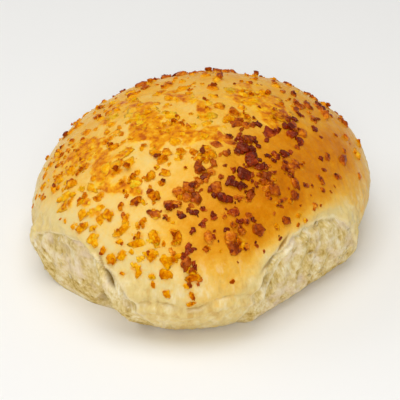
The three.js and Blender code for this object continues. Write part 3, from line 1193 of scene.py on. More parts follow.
@dataclass
class Topping:
    """Minced onion baked onto the crust: heaps where it landed thickest, then a sprinkle.

    Buds are the crinkled edges of a chip. Flakes are the thin clear layers that have melted
    flat onto the crust, and crumbs are the broken bits round the chips. A heap is its place,
    how many chips it has and how far they spread, and a loner its place, length and heat. The
    heats part one kind of topping from the next, and the crinkles say how crinkled each is.
    """

    form: LoafForm
    baking: Baking
    heaps: tuple[tuple[float, float, int, float], ...] = (
        (16, 2, 9, 4.5), (22, -5, 10, 5), (25.5, 14.5, 6, 3.5), (32.5, 2, 6, 3.5), (31, -8, 9, 4.5),
        (18, -16, 9, 4.5), (10, -23, 7, 4), (22, -22, 7, 4), (31, -17, 6, 4.5), (11, -32, 8, 5),
        (22, -29, 8, 4.5), (35.5, -22, 7, 4), (2.5, -43, 6, 4), (-9, -42, 6, 4.5), (17, -43.5, 8, 4.5),
        (24, -36, 6, 4.5), (33.5, -36, 5, 3), (2.5, -13.5, 7, 4), (-27, -32, 6, 4.5), (-10, -26, 7, 5),
        (-25, -16, 5, 4.5), (7, 14, 5, 4), (15, 24, 8, 6),
    )
    sprinkled: int = 270
    sprinkle_reach: float = 47.5
    scatter: float = 2.6
    bare_x: float = 41.0
    bare_y: float = 10.0
    bare_radius: float = 13.0
    bare_share: float = 0.7
    shortest: float = 1.5
    longest: float = 4.2
    clear: float = 0.8
    seed: int = 20
    loners: tuple[tuple[float, float, float, float], ...] = (
        (18.1, -39.6, 2.2, 0.1), (21.8, -37.7, 4.2, 0.4), (26.5, -34.1, 3.8, 0.5),
        (22.7, -40.3, 3.6, 0.0), (27.0, -38.6, 4.2, 0.1), (28.2, -37.0, 3.6, 0.2),
        (30.0, -34.0, 3.0, 0.8), (31.0, -35.6, 2.4, 0.6), (22.2, -43.7, 3.4, 0.1),
        (28.3, -39.8, 3.4, 0.2), (26.4, -42.5, 2.2, 0.0), (29.8, -41.0, 2.6, 0.1),
        (33.7, -35.9, 4.0, 0.4), (34.8, -37.0, 2.8, 0.3), (12.7, -39.2, 3.2, 0.3),
        (9.4, -38.3, 2.2, 0.4), (18.4, -34.3, 3.2, 0.2), (17.0, -37.1, 2.6, 0.4),
        (7.4, -40.9, 4.2, 0.2), (-7.9, -41.7, 2.6, 0.0), (-2.6, -41.1, 3.0, 0.0),
        (-11.6, -43.4, 2.4, 0.0), (14.5, -31.5, 4.4, 0.4), (12.0, -35.0, 3.6, 0.3),
        (6.5, -46.0, 3.0, 0.1), (11.4, -46.0, 2.4, 0.1), (21.6, -20.4, 2.4, 0.9),
        (26.8, -21.6, 2.2, 0.9), (26.2, -27.8, 2.2, 1.0), (29.2, -28.2, 2.4, 1.0),
        (24.2, -30.4, 2.0, 0.9), (30.6, -25.4, 2.0, 0.9), (21.2, -29.6, 1.8, 0.8),
        (28.4, -31.0, 2.0, 0.8), (33.0, -28.2, 2.2, 0.9), (30.6, -33.4, 2.4, 0.9),
        (33.0, -34.6, 2.2, 0.8), (34.6, -24.6, 2.0, 0.9), (36.0, -20.2, 2.4, 1.0),
        (30.4, -14.0, 2.2, 1.0), (26.0, -13.2, 2.2, 0.9), (37.8, -17.4, 1.8, 0.8),
        (33.4, -31.0, 1.8, 0.7),
    )
    dusted: tuple[Patch, ...] = (
        Patch(-22, -36, 14, 7, 44), Patch(-36, -14, 7, 18, 8), Patch(-20, 22, 18, 14, 6),
        Patch(8, 34, 22, 12, 12), Patch(38, 0, 9, 24, 44), Patch(30, -26, 12, 12, 12),
        Patch(14, -38, 16, 7, 5),
    )
    buds_each: float = 1.7
    bud_away: Span = (0.1, 0.4)
    bud_length: Span = (0.4, 0.65)
    bud_thickness: Span = (0.45, 0.7)
    bud_lift: Span = (0.1, 0.5)
    bud_width: Span = (0.5, 0.9)
    darker: float = 0.4
    melted: float = 1.45
    melted_lift: float = -0.15
    toasted_lift: float = 0.1
    heats: tuple[float, float, float] = (0.28, 0.55, 0.8)
    crinkles: tuple[float, ...] = (0.3, 0.4, 0.5, 0.6)
    shades: Span = (0.12, 0.56)
    flake_density: float = 0.08
    flake_shortest: float = 3.0
    flake_longest: float = 7.0
    dust_length: Span = (0.9, 2.3)
    crumbs: int = 100
    crumb_away: Span = (1.2, 4.0)
    crumb_length: Span = (0.5, 1.4)
    chip_cut: Cut = Cut((0.6, 0.95), (0.35, 0.55), 0.2)
    flake_cut: Cut = Cut((0.5, 0.9), (0.55, 0.8), -0.16, sheet=True)
    dust_cut: Cut = Cut((0.5, 0.9), (0.3, 0.5), 0.1)
    crumb_cut: Cut = Cut((0.5, 0.9), (0.4, 0.7), 0.1)
    loner_cut: Cut = Cut((0.45, 0.8), (0.7, 1.0), 0.2, sheet=True)
    chips: list[Bit] = field(default_factory=list)

    def laid(self, bits: list[Bit]) -> list[Bit]:
        """Lays bits on the crust, and leaves out those that would reach the torn crumb."""
        spots = settle(bits, self.form)
        clear = (spots.torn < 0.02) & (spots.gap < -self.clear)
        return [bit for bit, kept in zip(bits, clear) if kept]

    def chip(self, x: float, y: float, draw: Draw, keep: float) -> list[Bit]:
        """Draws one chip with its own size, turn and lie, or none where the loaf stays bare."""
        length = self.shortest + (self.longest - self.shortest) * draw.next() ** 1.5
        bit = self.chip_cut.bit((x, y), length, draw)
        return [bit] if keep > draw.next() else []

    def main_chips(self) -> list[Bit]:
        """Draws all the chips that the solid's rule gives, heaps first."""
        draw = Draw(self.seed)
        bits = []
        for heap_x, heap_y, pieces, spread in self.heaps:
            for number in range(pieces):
                distance = spread * math.sqrt((number + 0.3) / pieces)
                turn = number * GOLDEN_ANGLE + heap_x
                x, y = heap_x + distance * math.cos(turn), heap_y + distance * math.sin(turn)
                bits += self.chip(x, y, draw, 1)
        for number in range(self.sprinkled):
            distance = self.sprinkle_reach * math.sqrt((number + 0.5) / self.sprinkled)
            turn = number * GOLDEN_ANGLE
            x = distance * math.cos(turn) + draw.between(-1, 1) * self.scatter
            y = distance * math.sin(turn) + draw.between(-1, 1) * self.scatter
            away = ((x - self.bare_x) ** 2 + (y - self.bare_y) ** 2) / self.bare_radius**2
            bits += self.chip(x, y, draw, 1 - self.bare_share * math.exp(-away))
        return self.laid(bits)

    def buds(self, draw: Draw) -> list[Bit]:
        """Draws the crinkled lumps on each chip's back and edges, some darker than the chip."""
        bits = []
        kinds = list(Onion)
        for chip in self.chips:
            rank = kinds.index(chip.kind)
            for _ in range(int(draw.between(0, self.buds_each) + rank / 3)):
                away = chip.length * draw.between(*self.bud_away)
                plan = draw.around(*chip.plan, away, away)
                length = chip.length * draw.between(*self.bud_length)
                thickness = length * draw.between(*self.bud_thickness)
                lift = draw.between(*self.bud_lift) * chip.thickness / thickness
                width = length * draw.between(*self.bud_width)
                bud = Bit(plan, length, width, thickness, draw.between(0, math.pi), lift)
                bud.kind = kinds[min(rank + (draw.next() < self.darker), len(kinds) - 1)]
                bud.shade = chip.shade + draw.between(-0.2, 0.2)
                bits.append(bud)
        return self.laid(bits)

    def flat_flakes(self, draw: Draw) -> list[Bit]:
        """Draws the thin clear flakes where the crust is soaked."""
        bits = []
        for patch in self.baking.soak_patches:
            area = math.pi * patch.wide * patch.deep
            for _ in range(round(self.flake_density * patch.strength**2 * area)):
                away = math.sqrt(draw.next()) * 1.2
                plan = draw.around(patch.x, patch.y, patch.wide * away, patch.deep * away)
                spare = self.flake_longest - self.flake_shortest
                length = self.flake_shortest + spare * draw.next() ** 1.4
                flake = self.flake_cut.bit(plan, length, draw)
                self.colour(flake, self.baking.char(*plan) + draw.between(-0.3, 0.15), draw)
                bits.append(flake)
        return self.laid(bits)

    def dust(self, draw: Draw) -> list[Bit]:
        """Draws the small bits that lie by themselves, half sunk in the crust."""
        bits = []
        for patch in self.dusted:
            for _ in range(round(patch.strength)):
                away = math.sqrt(draw.next())
                plan = draw.around(patch.x, patch.y, patch.wide * away, patch.deep * away)
                bit = self.dust_cut.bit(plan, draw.between(*self.dust_length), draw)
                self.colour(bit, self.baking.char(*plan) + draw.between(-0.25, 0.1), draw)
                bits.append(bit)
        return self.laid(bits)

    def broken(self, draw: Draw) -> list[Bit]:
        """Draws the crumbs, each near one of the chips."""
        bits = []
        for _ in range(self.crumbs):
            parent = self.chips[int(draw.next() * len(self.chips))]
            away = draw.between(*self.crumb_away)
            plan = draw.around(*parent.plan, away, away)
            bit = self.crumb_cut.bit(plan, draw.between(*self.crumb_length), draw)
            bit.kind, bit.shade = parent.kind, draw.between(0.3, 0.7)
            bits.append(bit)
        return self.laid(bits)

    def thin_loners(self, draw: Draw) -> list[Bit]:
        """Draws the thin flakes that lie by themselves low on the loaf."""
        bits = []
        for x, y, length, heat in self.loners:
            bit = self.loner_cut.bit((x, y), length, draw)
            self.colour(bit, heat, draw)
            bits.append(bit)
        return self.laid(bits)

    def colour(self, bit: Bit, heat: float, draw: Draw) -> None:
        """Gives a bit its kind and its shade from how hot its place was."""
        bit.kind = list(Onion)[sum(heat >= limit for limit in self.heats)]
        bit.shade = draw.between(*self.shades)

    def lay(self) -> None:
        """Draws and lays the whole topping."""
        draw = Draw(self.seed + 2)
        self.chips = self.main_chips()
        for chip in self.chips:
            self.colour(chip, self.baking.char(*chip.plan) + draw.between(-0.16, 0.16), draw)
            if chip.kind in (Onion.GOLDEN, Onion.AMBER):
                chip.lift, chip.thickness = self.melted_lift, chip.thickness * self.melted
            elif chip.kind is Onion.TOASTED:
                chip.lift = self.toasted_lift
        self.chips += self.thin_loners(draw) + self.dust(draw)
        self.chips += self.broken(draw) + self.buds(draw) + self.flat_flakes(draw)

    def build(self) -> list[bpy.types.Object]:
        """Makes one piece of each kind of topping and returns them."""
        pieces = []
        for kind, crinkle in zip(Onion, self.crinkles):
            scatter = Scatter(
                uneven=0.8, uneven_size=0.5, crinkle_share=crinkle, crinkle_size=0.7, curl=0.3
            )
            bits = [bit for bit in self.chips if bit.kind is kind]
            pieces.append(scatter.build(kind.value.name, bits, kind.value.make(), self.seed + 4))
            log.info("%s: %d bits", kind.value.name, len(bits))
        return pieces


@dataclass
class CrumbShreds:
    """Loose shreds of crumb that the tear left hanging on the torn sides."""

    form: LoafForm
    count: int = 170
    shortest: float = 0.5
    longest: float = 2.0
    reach_past: Span = (-7.0, 15.5)
    thinness: Span = (0.15, 0.35)
    breadth: float = 1.4
    seed: int = 7

    def build(self) -> bpy.types.Object:
        """Makes the piece."""
        draw = Draw(self.seed)
        bits = []
        for _ in range(self.count * 4):
            bearing = draw.between(0, 2 * math.pi)
            reach = self.form.radius + draw.between(*self.reach_past)
            length = self.shortest + (self.longest - self.shortest) * draw.next() ** 2
            plan = (reach * math.cos(bearing), reach * math.sin(bearing))
            thin = length * draw.between(*self.thinness)
            turn = math.pi / 2 + draw.between(-0.7, 0.7)
            lift = draw.between(-0.1, 0.3)
            bits.append(Bit(plan, length, thin * self.breadth, thin, turn, lift, draw.between(0.3, 0.7)))
        gaps = settle(bits, self.form).gap
        kept = [bit for bit, gap in zip(bits, gaps) if gap > 0.5 and bit.place[2] >= bit.length * 0.6]
        scatter = Scatter(
            uneven=0.9, uneven_size=0.4, crinkle_share=0.5, crinkle_size=0.5, curl=1.5, coarse_below=9.0
        )
        return scatter.build("crumb_shreds", kept[: self.count], ShredCrumb().make(), self.seed)


@dataclass(frozen=True)
class Crease:
    """A long dent or, with a negative depth, a ridge on a torn side, in millimetres.

    slope is its direction in degrees from level, rising towards the right of the side, and
    dark is how much painted shade darkens its bottom.
    """

    side: int
    along: float
    level: float
    slope: float
    length: float
    width: float
    depth: float
    dark: float

    def at(self, surface: Surface) -> Array:
        """Returns how deep in the crease each point lies, from 0 to 1."""
        cos, sin = math.cos(math.radians(self.slope)), math.sin(math.radians(self.slope))
        right = surface.along - self.along
        up = surface.place[:, 2] - self.level
        ahead = (right * cos + up * sin) / self.length
        aside = (up * cos - right * sin) / self.width
        away = ahead**2 + aside**2
        return np.where(surface.side == self.side, np.exp(-(away**1.5)), 0)


def band(value: Array, middle: float, half_width: float) -> Array:
    """Returns 1 at the middle of a band and a soft fall to 0 on both sides of it."""
    return np.exp(-(((value - middle) / half_width) ** 2))


@dataclass
class Loaf:
    """The loaf: dome, side, torn faces and underside as one closed mesh.

    The lip is where the crust ends, the step its drop to the crumb, and the heaves and wrinkles
    are the crust's own relief. Strands, lumps and pores are the torn crumb's. A band is the
    middle and the half width of a line along the crust's edge, a span is where a change starts
    and where it is complete, and a share says how strong it is.
    """

    form: LoafForm
    baking: Baking
    columns: int = 600
    dome_rows: int = 112
    side_rows: int = 36
    base_rows: int = 6
    ragged_height: float = 0.6
    ragged_size: float = 5.0
    nick_height: float = 0.35
    nick_size: float = 1.5
    lip_height: float = 0.25
    lip_band: Span = (-0.35, 0.5)
    step_depth: float = 0.35
    step_band: Span = (0.7, 0.55)
    # painted shade: a dark line just inside the crust's edge, under its lip
    lip_shade_share: float = 0.3
    lip_shade_band: Span = (0.6, 0.35)
    # painted highlight along the crust's lip and on the ridges
    lip_highlight_share: float = 0.8
    lip_highlight_band: Span = (-0.25, 0.4)
    ridge_highlight: float = 0.7
    heave_height: float = 0.22
    heave_size: float = 3.6
    glaze_height: float = 0.25
    glaze_span: Span = (0.2, 0.8)
    wrinkle_height: float = 0.36
    wrinkle_size: float = 2.6
    wrinkled_level: float = 17.0
    smooth_level: float = 27.0
    edge_span: Span = (-1.2, 0.2)
    foot_span: Span = (0.2, 1.5)
    crease_depth: float = 0.25
    crease_half: float = 0.17
    # painted shade in the fold's crease
    fold_crease_shade: float = 0.4
    crease_lip: float = 0.2
    crease_lip_band: Span = (-0.5, 0.28)
    # painted highlight on the lip below the fold's crease
    fold_lip_highlight: float = 0.6
    soak_size: float = 3.6
    soak_drift: float = 1.2
    soak_span: Span = (0.2, 0.75)
    halo_share: float = 0.62
    halo_least: float = 1.2
    halo_spread: float = 0.55
    halo_edge: float = 0.4
    toasted_halo: float = 0.6
    foot_pale: float = 0.42
    foot_pale_span: Span = (43.5, 55)
    edge_pale: float = 0.45
    edge_pale_span: Span = (-7, 0)
    streak_span: Span = (45, 53)
    strand_height: float = 0.13
    strand_size: float = 1.4
    strand_stretch: float = 0.28
    lump_height: float = 0.25
    lump_size: float = 4.2
    lump_stretch: float = 0.6
    pore_depth: float = 0.4
    pore_size: float = 1.9
    pore_stretch: float = 0.6
    open_size: float = 5.0
    full_relief: float = 0.9
    creases: tuple[Crease, ...] = (
        Crease(3, 17.2, 19.0, -50, 2.4, 0.75, 1.5, 1.1),
        Crease(3, 13.6, 22.4, -38, 3.8, 0.45, 0.5, 0.7),
        Crease(3, 21.6, 14.0, -74, 4.0, 1.3, 0.4, 0.2),
        Crease(3, 4.8, 3.6, 60, 2.6, 1.2, 1.1, 0.5),
        Crease(3, -7.0, 16.6, -10, 3.0, 1.8, 0.5, 0.2),
        Crease(0, -11.3, 24.9, 22, 3.2, 0.6, 0.85, 0.8),
        Crease(0, -18.0, 21.9, 30, 3.6, 0.6, 0.8, 0.6),
        Crease(0, -10.4, 22.8, 14, 3.0, 0.55, -0.6, 0.0),
        Crease(0, -15.2, 18.2, 50, 5.4, 0.7, -0.8, 0.0),
        Crease(0, -20.6, 11.8, 82, 4.0, 0.8, -0.7, 0.0),
        Crease(0, -19.6, 17.4, 55, 2.6, 1.1, 0.9, 0.45),
        Crease(1, 12.0, 19.0, -40, 3.6, 0.8, 1.2, 0.8),
        Crease(1, -13.0, 17.0, 46, 4.6, 0.8, 0.9, 0.5),
        Crease(2, -12.0, 19.5, 38, 3.8, 0.8, 1.3, 0.8),
        Crease(2, 15.0, 18.5, -36, 4.0, 0.8, 0.9, 0.5),
    )

    def profile(self) -> tuple[Array, Array, Array]:
        """Gives the half section from the middle of the underside to just below the crown.

        Returns:
            The share of the widest radius, the level, and the distance from the crown along
            the plan, of each row.
        """
        foot = float(self.form.side_share(np.array(0.0)))
        base = np.linspace(0.15, 0.995, self.base_rows) * foot
        levels = np.linspace(0, self.form.widest_level, self.side_rows, endpoint=False)
        turns = np.linspace(np.pi / 2, 0, self.dome_rows, endpoint=False)
        dome = np.sin(turns)
        share = np.concatenate([base, self.form.side_share(levels), dome])
        level = np.concatenate([base * 0, levels, self.form.dome_level(dome)])
        side_plan = self.form.radius + self.form.widest_level - levels
        base_plan = np.full(self.base_rows, side_plan[0])
        plan = np.concatenate([base_plan, side_plan, dome * self.form.radius])
        return share, level, plan

    def edge_relief(self, surface: Surface, gap: Array) -> tuple[Array, Array, Array]:
        """Works out the crust's lip, the step down to the crumb and the creases.

        Args:
            surface: the loaf's points.
            gap: how far inside the ragged edge of the crust each lies, in millimetres.

        Returns:
            The relief outwards in millimetres, how much painted shade goes into each crease and
            under the lip, and how much painted highlight goes onto the lip and the ridges.
        """
        wander = 0.75 + 0.5 * noise_at(surface.place, 5.0, 2, 31.0)
        lip = self.lip_height * band(gap, *self.lip_band)
        step = -self.step_depth * band(gap, *self.step_band)
        relief = wander * (lip + step)
        # painted shade: a dark line just inside the crust's edge, under its lip
        dark = self.lip_shade_share * wander * band(gap, *self.lip_shade_band)
        # painted highlight: a pale line along the lip
        pale = self.lip_highlight_share * wander * band(gap, *self.lip_highlight_band)
        for crease in self.creases:
            share = crease.at(surface)
            relief -= crease.depth * share
            # painted shade in each crease's bottom
            dark += crease.dark * share
            # ridges get painted highlight
            if crease.depth < 0:
                pale += self.ridge_highlight * share
        return relief, np.clip(dark, 0, 1), np.clip(pale, 0, 1) * (dark < 0.5)

    def crust_relief(self, surface: Surface, levels: Array) -> Array:
        """Works out the crust's soft heaves, and the wrinkles low down and near the tears.

        Args:
            surface: the loaf's points.
            levels: of each point on the round form.

        Returns:
            The relief outwards, in millimetres.
        """
        heave = self.heave_height * noise_at(surface.place, self.heave_size, 3, 3.0)
        low = smoothstep(-levels, -self.smooth_level, -self.wrinkled_level)
        near = low * (0.4 + 0.6 * smoothstep(surface.gap, -14, -3))
        stretched = surface.place * np.array([1.0, 1.0, 0.4])
        ridges = 1 - 2.5 * np.abs(noise_at(stretched, self.wrinkle_size, 3, 17.0))
        return heave + self.wrinkle_height * near * ridges

    def fold_crease(
        self, surface: Surface, bearing: Array, levels: Array, crusty: Array
    ) -> tuple[Array, Array]:
        """Works out the sharp crease in the front corner's fold and the lip below it.

        Args:
            surface: the loaf's points.
            bearing: of each point, in radians.
            levels: of each point on the round form.
            crusty: how far each is covered by crust, from 0 to 1.

        Returns:
            How strong the crease is at each point, and how strong the lip, from 0 to about 1.
        """
        across, fade = self.form.fold_place(bearing, levels)
        across = across + 0.35 * noise_at(surface.place, 3.0, 2, 23.0)
        patchy = np.clip(0.55 + 1.3 * noise_at(surface.place, 4.5, 2, 41.0), 0, 1.1)
        strength = crusty * fade * patchy
        lip = strength * band(across, *self.crease_lip_band)
        return strength * band(across, 0, self.crease_half), lip

    def halo(self, places: Array, chips: list[Bit]) -> Array:
        """Returns how near each place is to a chip that has soaked the crust, from 0 to 1."""
        found = np.zeros(len(places))
        for chip in chips:
            if chip.length < self.halo_least or chip.kind is Onion.DARK:
                continue
            near = np.abs(places - chip.place).max(axis=1) < 3 * chip.length
            size = self.halo_spread * chip.length + self.halo_edge
            away = np.linalg.norm(places[near] - chip.place, axis=1) / size
            strength = self.toasted_halo if chip.kind is Onion.TOASTED else 1.0
            found[near] = np.maximum(found[near], strength * np.exp(-(away**2)))
        return found

    def mesh(self, chips: list[Bit]) -> bpy.types.Mesh:
        """Makes the closed mesh with its relief and its painted fields.

        Args:
            chips: the topping, for the soaked halos round it.

        Returns:
            The mesh, in metres.
        """
        share, level, plan = self.profile()
        bearings = np.arange(self.columns) / self.columns * 2 * np.pi
        shares, bearing = np.meshgrid(share, bearings, indexing="ij")
        bearing = np.append(bearing, [0.0, 0.0])
        shares = np.append(shares, [0.0, 0.0])
        crown = float(self.form.dome_level(np.array(0.0)))
        levels = np.append(np.repeat(level, self.columns), [0.0, crown])
        plans = np.append(np.repeat(plan, self.columns), [plan[0], 0.0])
        surface = self.form.surface(bearing, shares, levels)
        start = self.base_rows * self.columns
        foot = surface.place[start : start + self.columns]
        inside = share[: self.base_rows] / share[self.base_rows]
        surface.place[:start] = (inside[:, None, None] * foot).reshape(-1, 3)
        mesh = bpy.data.meshes.new("loaf")
        mesh.from_pydata(surface.place * MM, [], self.faces(len(share)))
        mesh.update()
        normals = np.empty(len(surface.place) * 3)
        mesh.vertex_normals.foreach_get("vector", normals)
        normals = normals.reshape(-1, 3)

        ragged = self.ragged_height * noise_at(surface.place, self.ragged_size)
        gap = surface.gap + ragged + self.nick_height * noise_at(surface.place, self.nick_size, 2, 7.0)
        relief, painted_shade, painted_highlight = self.edge_relief(surface, gap)
        x = plans * np.cos(bearing)
        y = plans * np.sin(bearing)
        drift = self.soak_drift * noise_at(surface.place, self.soak_size, 1, 11.0)
        soak = smoothstep(self.baking.soak(x, y) * (1.0 + drift), *self.soak_span)
        crusty = 1 - smoothstep(gap, *self.edge_span)
        relief += crusty * self.crust_relief(surface, levels)
        relief += crusty * self.glaze_height * smoothstep(soak, *self.glaze_span)
        outside = (shares > self.form.side_share(np.array(0.0)) * 0.999) * crusty
        crease, edge = self.fold_crease(surface, bearing, levels, outside)
        relief += self.crease_lip * edge - self.crease_depth * crease
        relief *= smoothstep(levels, *self.foot_span)
        places = surface.place + normals * relief[:, None]
        places[:, 2] = np.maximum(places[:, 2], 0)
        mesh.vertices.foreach_set("co", (places * MM).ravel())
        mesh.update()

        low = self.foot_pale * smoothstep(plans, *self.foot_pale_span)
        near = self.edge_pale * smoothstep(gap, *self.edge_pale_span)
        soak *= 1 - smoothstep(surface.torn, 0, 0.3)
        for name, values in (
            ("toast", self.baking.toast(x, y) - low - near),
            ("soak", np.maximum(soak, self.halo_share * self.halo(surface.place, chips))),
            # painted shade in the creases, in the fold's crease and under the lip
            ("painted_shade", np.maximum(painted_shade, self.fold_crease_shade * crease)),
            # painted highlight on the lips, the ridges and the fold's lip
            ("painted_highlight", np.maximum(painted_highlight, self.fold_lip_highlight * edge)),
            ("low", smoothstep(plans, *self.streak_span)),
            ("gap", gap),
            ("level", levels),
            ("under", (levels <= 0).astype(float)),
        ):
            mesh.attributes.new(name, "FLOAT", "POINT").data.foreach_set("value", values)
        layer = mesh.attributes.new("strand", "FLOAT_VECTOR", "POINT")
        layer.data.foreach_set("vector", surface.strand.ravel())
        return mesh

    def faces(self, rows: int) -> list[tuple[int, ...]]:
        """Joins the rows of points into faces that point outwards.

        Args:
            rows: how many rows there are. The two poles come after them.

        Returns:
            The corner numbers of each face.
        """
        columns = self.columns
        lower = rows * columns
        crown = lower + 1
        faces = []
        for column in range(columns):
            after = (column + 1) % columns
            faces.append((lower, after, column))
            faces.append((crown, (rows - 1) * columns + column, (rows - 1) * columns + after))
        for row in range(rows - 1):
            start = row * columns
            for column in range(columns):
                after = (column + 1) % columns
                above = start + columns
                faces.append((start + column, start + after, above + after, above + column))
        return faces

    def tree(self) -> Tree:
        """Builds the tree that draws the torn crumb into strands, lumps and pores."""
        sizes = tuple(form + size for form in ("Strand", "Lump", "Pore") for size in (" height", " size"))
        tree, given = new_tree("torn_crumb", sizes, ("Crust", "Crumb", "Base"))
        gap, level, under, strand = (
            add(tree, "GeometryNodeInputNamedAttribute", {"Name": name}, "Attribute", data_type=kind)
            for name, kind in (
                ("gap", "FLOAT"),
                ("level", "FLOAT"),
                ("under", "FLOAT"),
                ("strand", "FLOAT_VECTOR"),
            )
        )
        long, lumpy, oval = (
            add(tree, "ShaderNodeVectorMath", (strand, (1.0, 1.0, stretch)), operation="MULTIPLY")
            for stretch in (self.strand_stretch, self.lump_stretch, self.pore_stretch)
        )
        strand_scale, lump_scale, pore_scale = (
            add(tree, "ShaderNodeMath", (1.0, given[form + " size"]), operation="DIVIDE")
            for form in ("Strand", "Lump", "Pore")
        )
        strands, lumps = (
            add(
                tree,
                "ShaderNodeTexNoise",
                {"Vector": where, "Scale": scale, "Detail": 4.0, "Roughness": 0.6},
            )
            for where, scale in ((long, strand_scale), (lumpy, lump_scale))
        )
        oval = {"Vector": oval, "Scale": pore_scale}
        cells = add(tree, "ShaderNodeTexVoronoi", oval, feature="SMOOTH_F1")
        sparse = add(
            tree, "ShaderNodeTexNoise", {"Vector": strand, "Scale": 1 / self.open_size, "Detail": 1.0}
        )
        torn, clear, pits, open_crumb = (
            add(tree, "ShaderNodeMapRange", span, interpolation_type="SMOOTHSTEP")
            for span in (
                (gap, 0.3, 1.8),
                (level, 0.3, 2.0),
                (cells, 0.1, 0.36, 1.0, 0.0),
                (sparse, 0.42, 0.58),
            )
        )
        high_strands, high_lumps = (
            add(tree, "ShaderNodeMapRange", (waves, 0.3, 0.7, -1.0, 1.0)) for waves in (strands, lumps)
        )
        mask, pored = (
            add(tree, "ShaderNodeMath", terms, operation="MULTIPLY")
            for terms in ((torn, clear), (pits, open_crumb))
        )
        raised_strands, raised_lumps, sunk = (
            add(tree, "ShaderNodeMath", (share, given[form + " height"]), operation="MULTIPLY")
            for share, form in ((high_strands, "Strand"), (high_lumps, "Lump"), (pored, "Pore"))
        )
        raised = add(tree, "ShaderNodeMath", (raised_strands, raised_lumps), operation="ADD")
        total = add(tree, "ShaderNodeMath", (raised, sunk), operation="SUBTRACT")
        relief = add(tree, "ShaderNodeMath", (total, mask), operation="MULTIPLY")
        normal = add(tree, "GeometryNodeInputNormal")
        offset = add(tree, "ShaderNodeVectorMath", {0: normal, "Scale": relief}, operation="SCALE")
        moved = add(tree, "GeometryNodeSetPosition", {"Geometry": given["Geometry"], "Offset": offset})
        most = self.full_relief * MM
        # the relief is kept so that the crumb's finish paints shade into its hollows and highlight on its
        # raised parts
        shown = add(tree, "ShaderNodeMapRange", (relief, -most, most))
        kept = add(
            tree,
            "GeometryNodeStoreNamedAttribute",
            {"Geometry": moved, "Name": "relief", "Value": shown},
            data_type="FLOAT",
        )
        whole = add(tree, "GeometryNodeRealizeInstances", (kept,))
        dressed = add(tree, "GeometryNodeSetMaterial", {"Geometry": whole, "Material": given["Crust"]})
        for value, least, label in ((gap, 0.15, "Crumb"), (under, 0.6, "Base")):
            chosen = add(tree, "FunctionNodeCompare", (value, least), operation="GREATER_THAN")
            dressed = add(
                tree,
                "GeometryNodeSetMaterial",
                {"Geometry": dressed, "Selection": chosen, "Material": given[label]},
            )
        add(tree, "NodeGroupOutput", {"Geometry": dressed})
        return tree

    def build(self, chips: list[Bit]) -> bpy.types.Object:
        """Makes the finished piece.

        Args:
            chips: the topping, for the soaked halos round it.

        Returns:
            The loaf, with its three finishes.
        """
        values = {
            "Strand height": self.strand_height * MM,
            "Strand size": self.strand_size,
            "Lump height": self.lump_height * MM,
            "Lump size": self.lump_size,
            "Pore height": self.pore_depth * MM,
            "Pore size": self.pore_size,
            "Crust": EggWashedCrust().make(),
            "Crumb": TornCrumb().make(),
            "Base": BakedBase().make(),
        }
        return grown("loaf", self.mesh(chips), self.tree(), values)


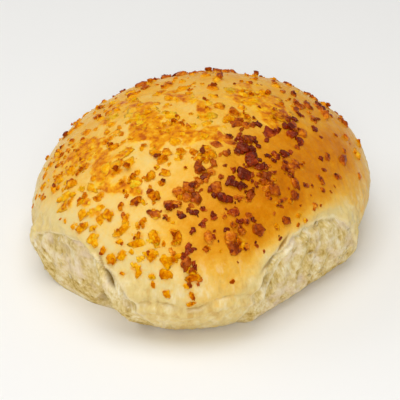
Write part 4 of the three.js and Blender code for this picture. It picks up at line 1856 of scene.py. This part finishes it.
@dataclass(frozen=True)
class Studio:
    """A plain pale table, soft white lights and the camera."""

    azimuth: float = 46.4
    elevation: float = 32.0
    roll: float = -1.4
    distance: float = 550.0
    lens: float = 169.2
    aim_x: float = 0.07
    aim_y: float = -0.36
    aim_level: float = 22.0
    aim_right: float = 0.1
    aim_up: float = -6.3
    table_half: float = 900.0
    daylight: float = 0.42
    lamps: tuple[tuple[str, tuple[float, float, float], float, float], ...] = (
        ("top", (40, -60, 700), 500, 2.3),
        ("front", (420, -400, 330), 180, 1.1),
        ("window", (-430, -300, 420), 360, 0.62),
    )

    def camera(self) -> None:
        """Sets the camera at its viewing angle."""
        turn, tilt, lean = (math.radians(a) for a in (self.azimuth, self.elevation, self.roll))
        back = Vector((math.sin(turn) * math.cos(tilt), -math.cos(turn) * math.cos(tilt), math.sin(tilt)))
        flat_right = Vector((0, 0, 1)).cross(back).normalized()
        flat_up = back.cross(flat_right)
        right = flat_right * math.cos(lean) + flat_up * math.sin(lean)
        up = flat_up * math.cos(lean) - flat_right * math.sin(lean)
        aim = Vector((self.aim_x, self.aim_y, self.aim_level)) + right * self.aim_right + up * self.aim_up
        data = bpy.data.cameras.new("camera")
        data.lens = self.lens
        data.sensor_width = 36
        data.clip_start = 0.01
        camera = bpy.data.objects.new("camera", data)
        axes = Matrix((right, up, back)).transposed().to_4x4()
        camera.matrix_world = Matrix.Translation((aim + back * self.distance) * MM) @ axes
        bpy.context.scene.collection.objects.link(camera)
        bpy.context.scene.camera = camera

    def light(self, name: str, place: tuple[float, float, float], size: float, power: float) -> None:
        """Adds a soft white lamp that faces the roll.

        Args:
            name: of the lamp.
            place: in millimetres.
            size: its width, in millimetres.
            power: in watts.
        """
        data = bpy.data.lights.new(name, "AREA")
        data.size = size * MM
        data.energy = power
        lamp = bpy.data.objects.new(name, data)
        lamp.location = Vector(place) * MM
        lamp.rotation_euler = (Vector(place) - Vector((0, 0, 20))).to_track_quat("Z", "Y").to_euler()
        bpy.context.scene.collection.objects.link(lamp)

    def build(self) -> None:
        """Sets the table, the lights and the camera."""
        scene = bpy.context.scene
        world = bpy.data.worlds.new("studio")
        world.use_nodes = True
        background = world.node_tree.nodes["Background"]
        background.inputs["Color"].default_value = (1, 1, 1, 1)
        background.inputs["Strength"].default_value = self.daylight
        scene.world = world
        scene.view_settings.view_transform = "Standard"
        for lamp in self.lamps:
            self.light(*lamp)
        half = self.table_half
        mesh = bpy.data.meshes.new("table")
        corners = ((-half, -half), (half, -half), (half, half), (-half, half))
        mesh.from_pydata([Vector((x, y, 0)) * MM for x, y in corners], [], [(0, 1, 2, 3)])
        table = bpy.data.objects.new("table", mesh)
        scene.collection.objects.link(table)
        finish = bpy.data.materials.new("white_laminate")
        finish.use_nodes = True
        shader = finish.node_tree.nodes["Principled BSDF"]
        shader.inputs["Base Color"].default_value = linear("#F4F3F0")
        shader.inputs["Roughness"].default_value = 0.8
        mesh.materials.append(finish)
        self.camera()


def main() -> None:
    """Builds the roll piece by piece round the loaded frame."""
    logging.basicConfig(level=logging.INFO, format="%(message)s")
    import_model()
    form = LoafForm()
    baking = Baking()
    Studio().build()

    topping = Topping(form, baking)
    topping.lay()
    shreds = CrumbShreds(form)
    loaf = Loaf(form, baking).build(topping.chips)
    dressed = [(loaf, "crust"), (shreds.build(), "crumb")]
    dressed += [(piece, "topping") for piece in topping.build()]
    for piece, slot in dressed:
        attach(piece, BODY)
        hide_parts(NODE)
        log.info("%s: %d faces", piece.name, len(piece.data.polygons))


if __name__ == "__main__":
    main()
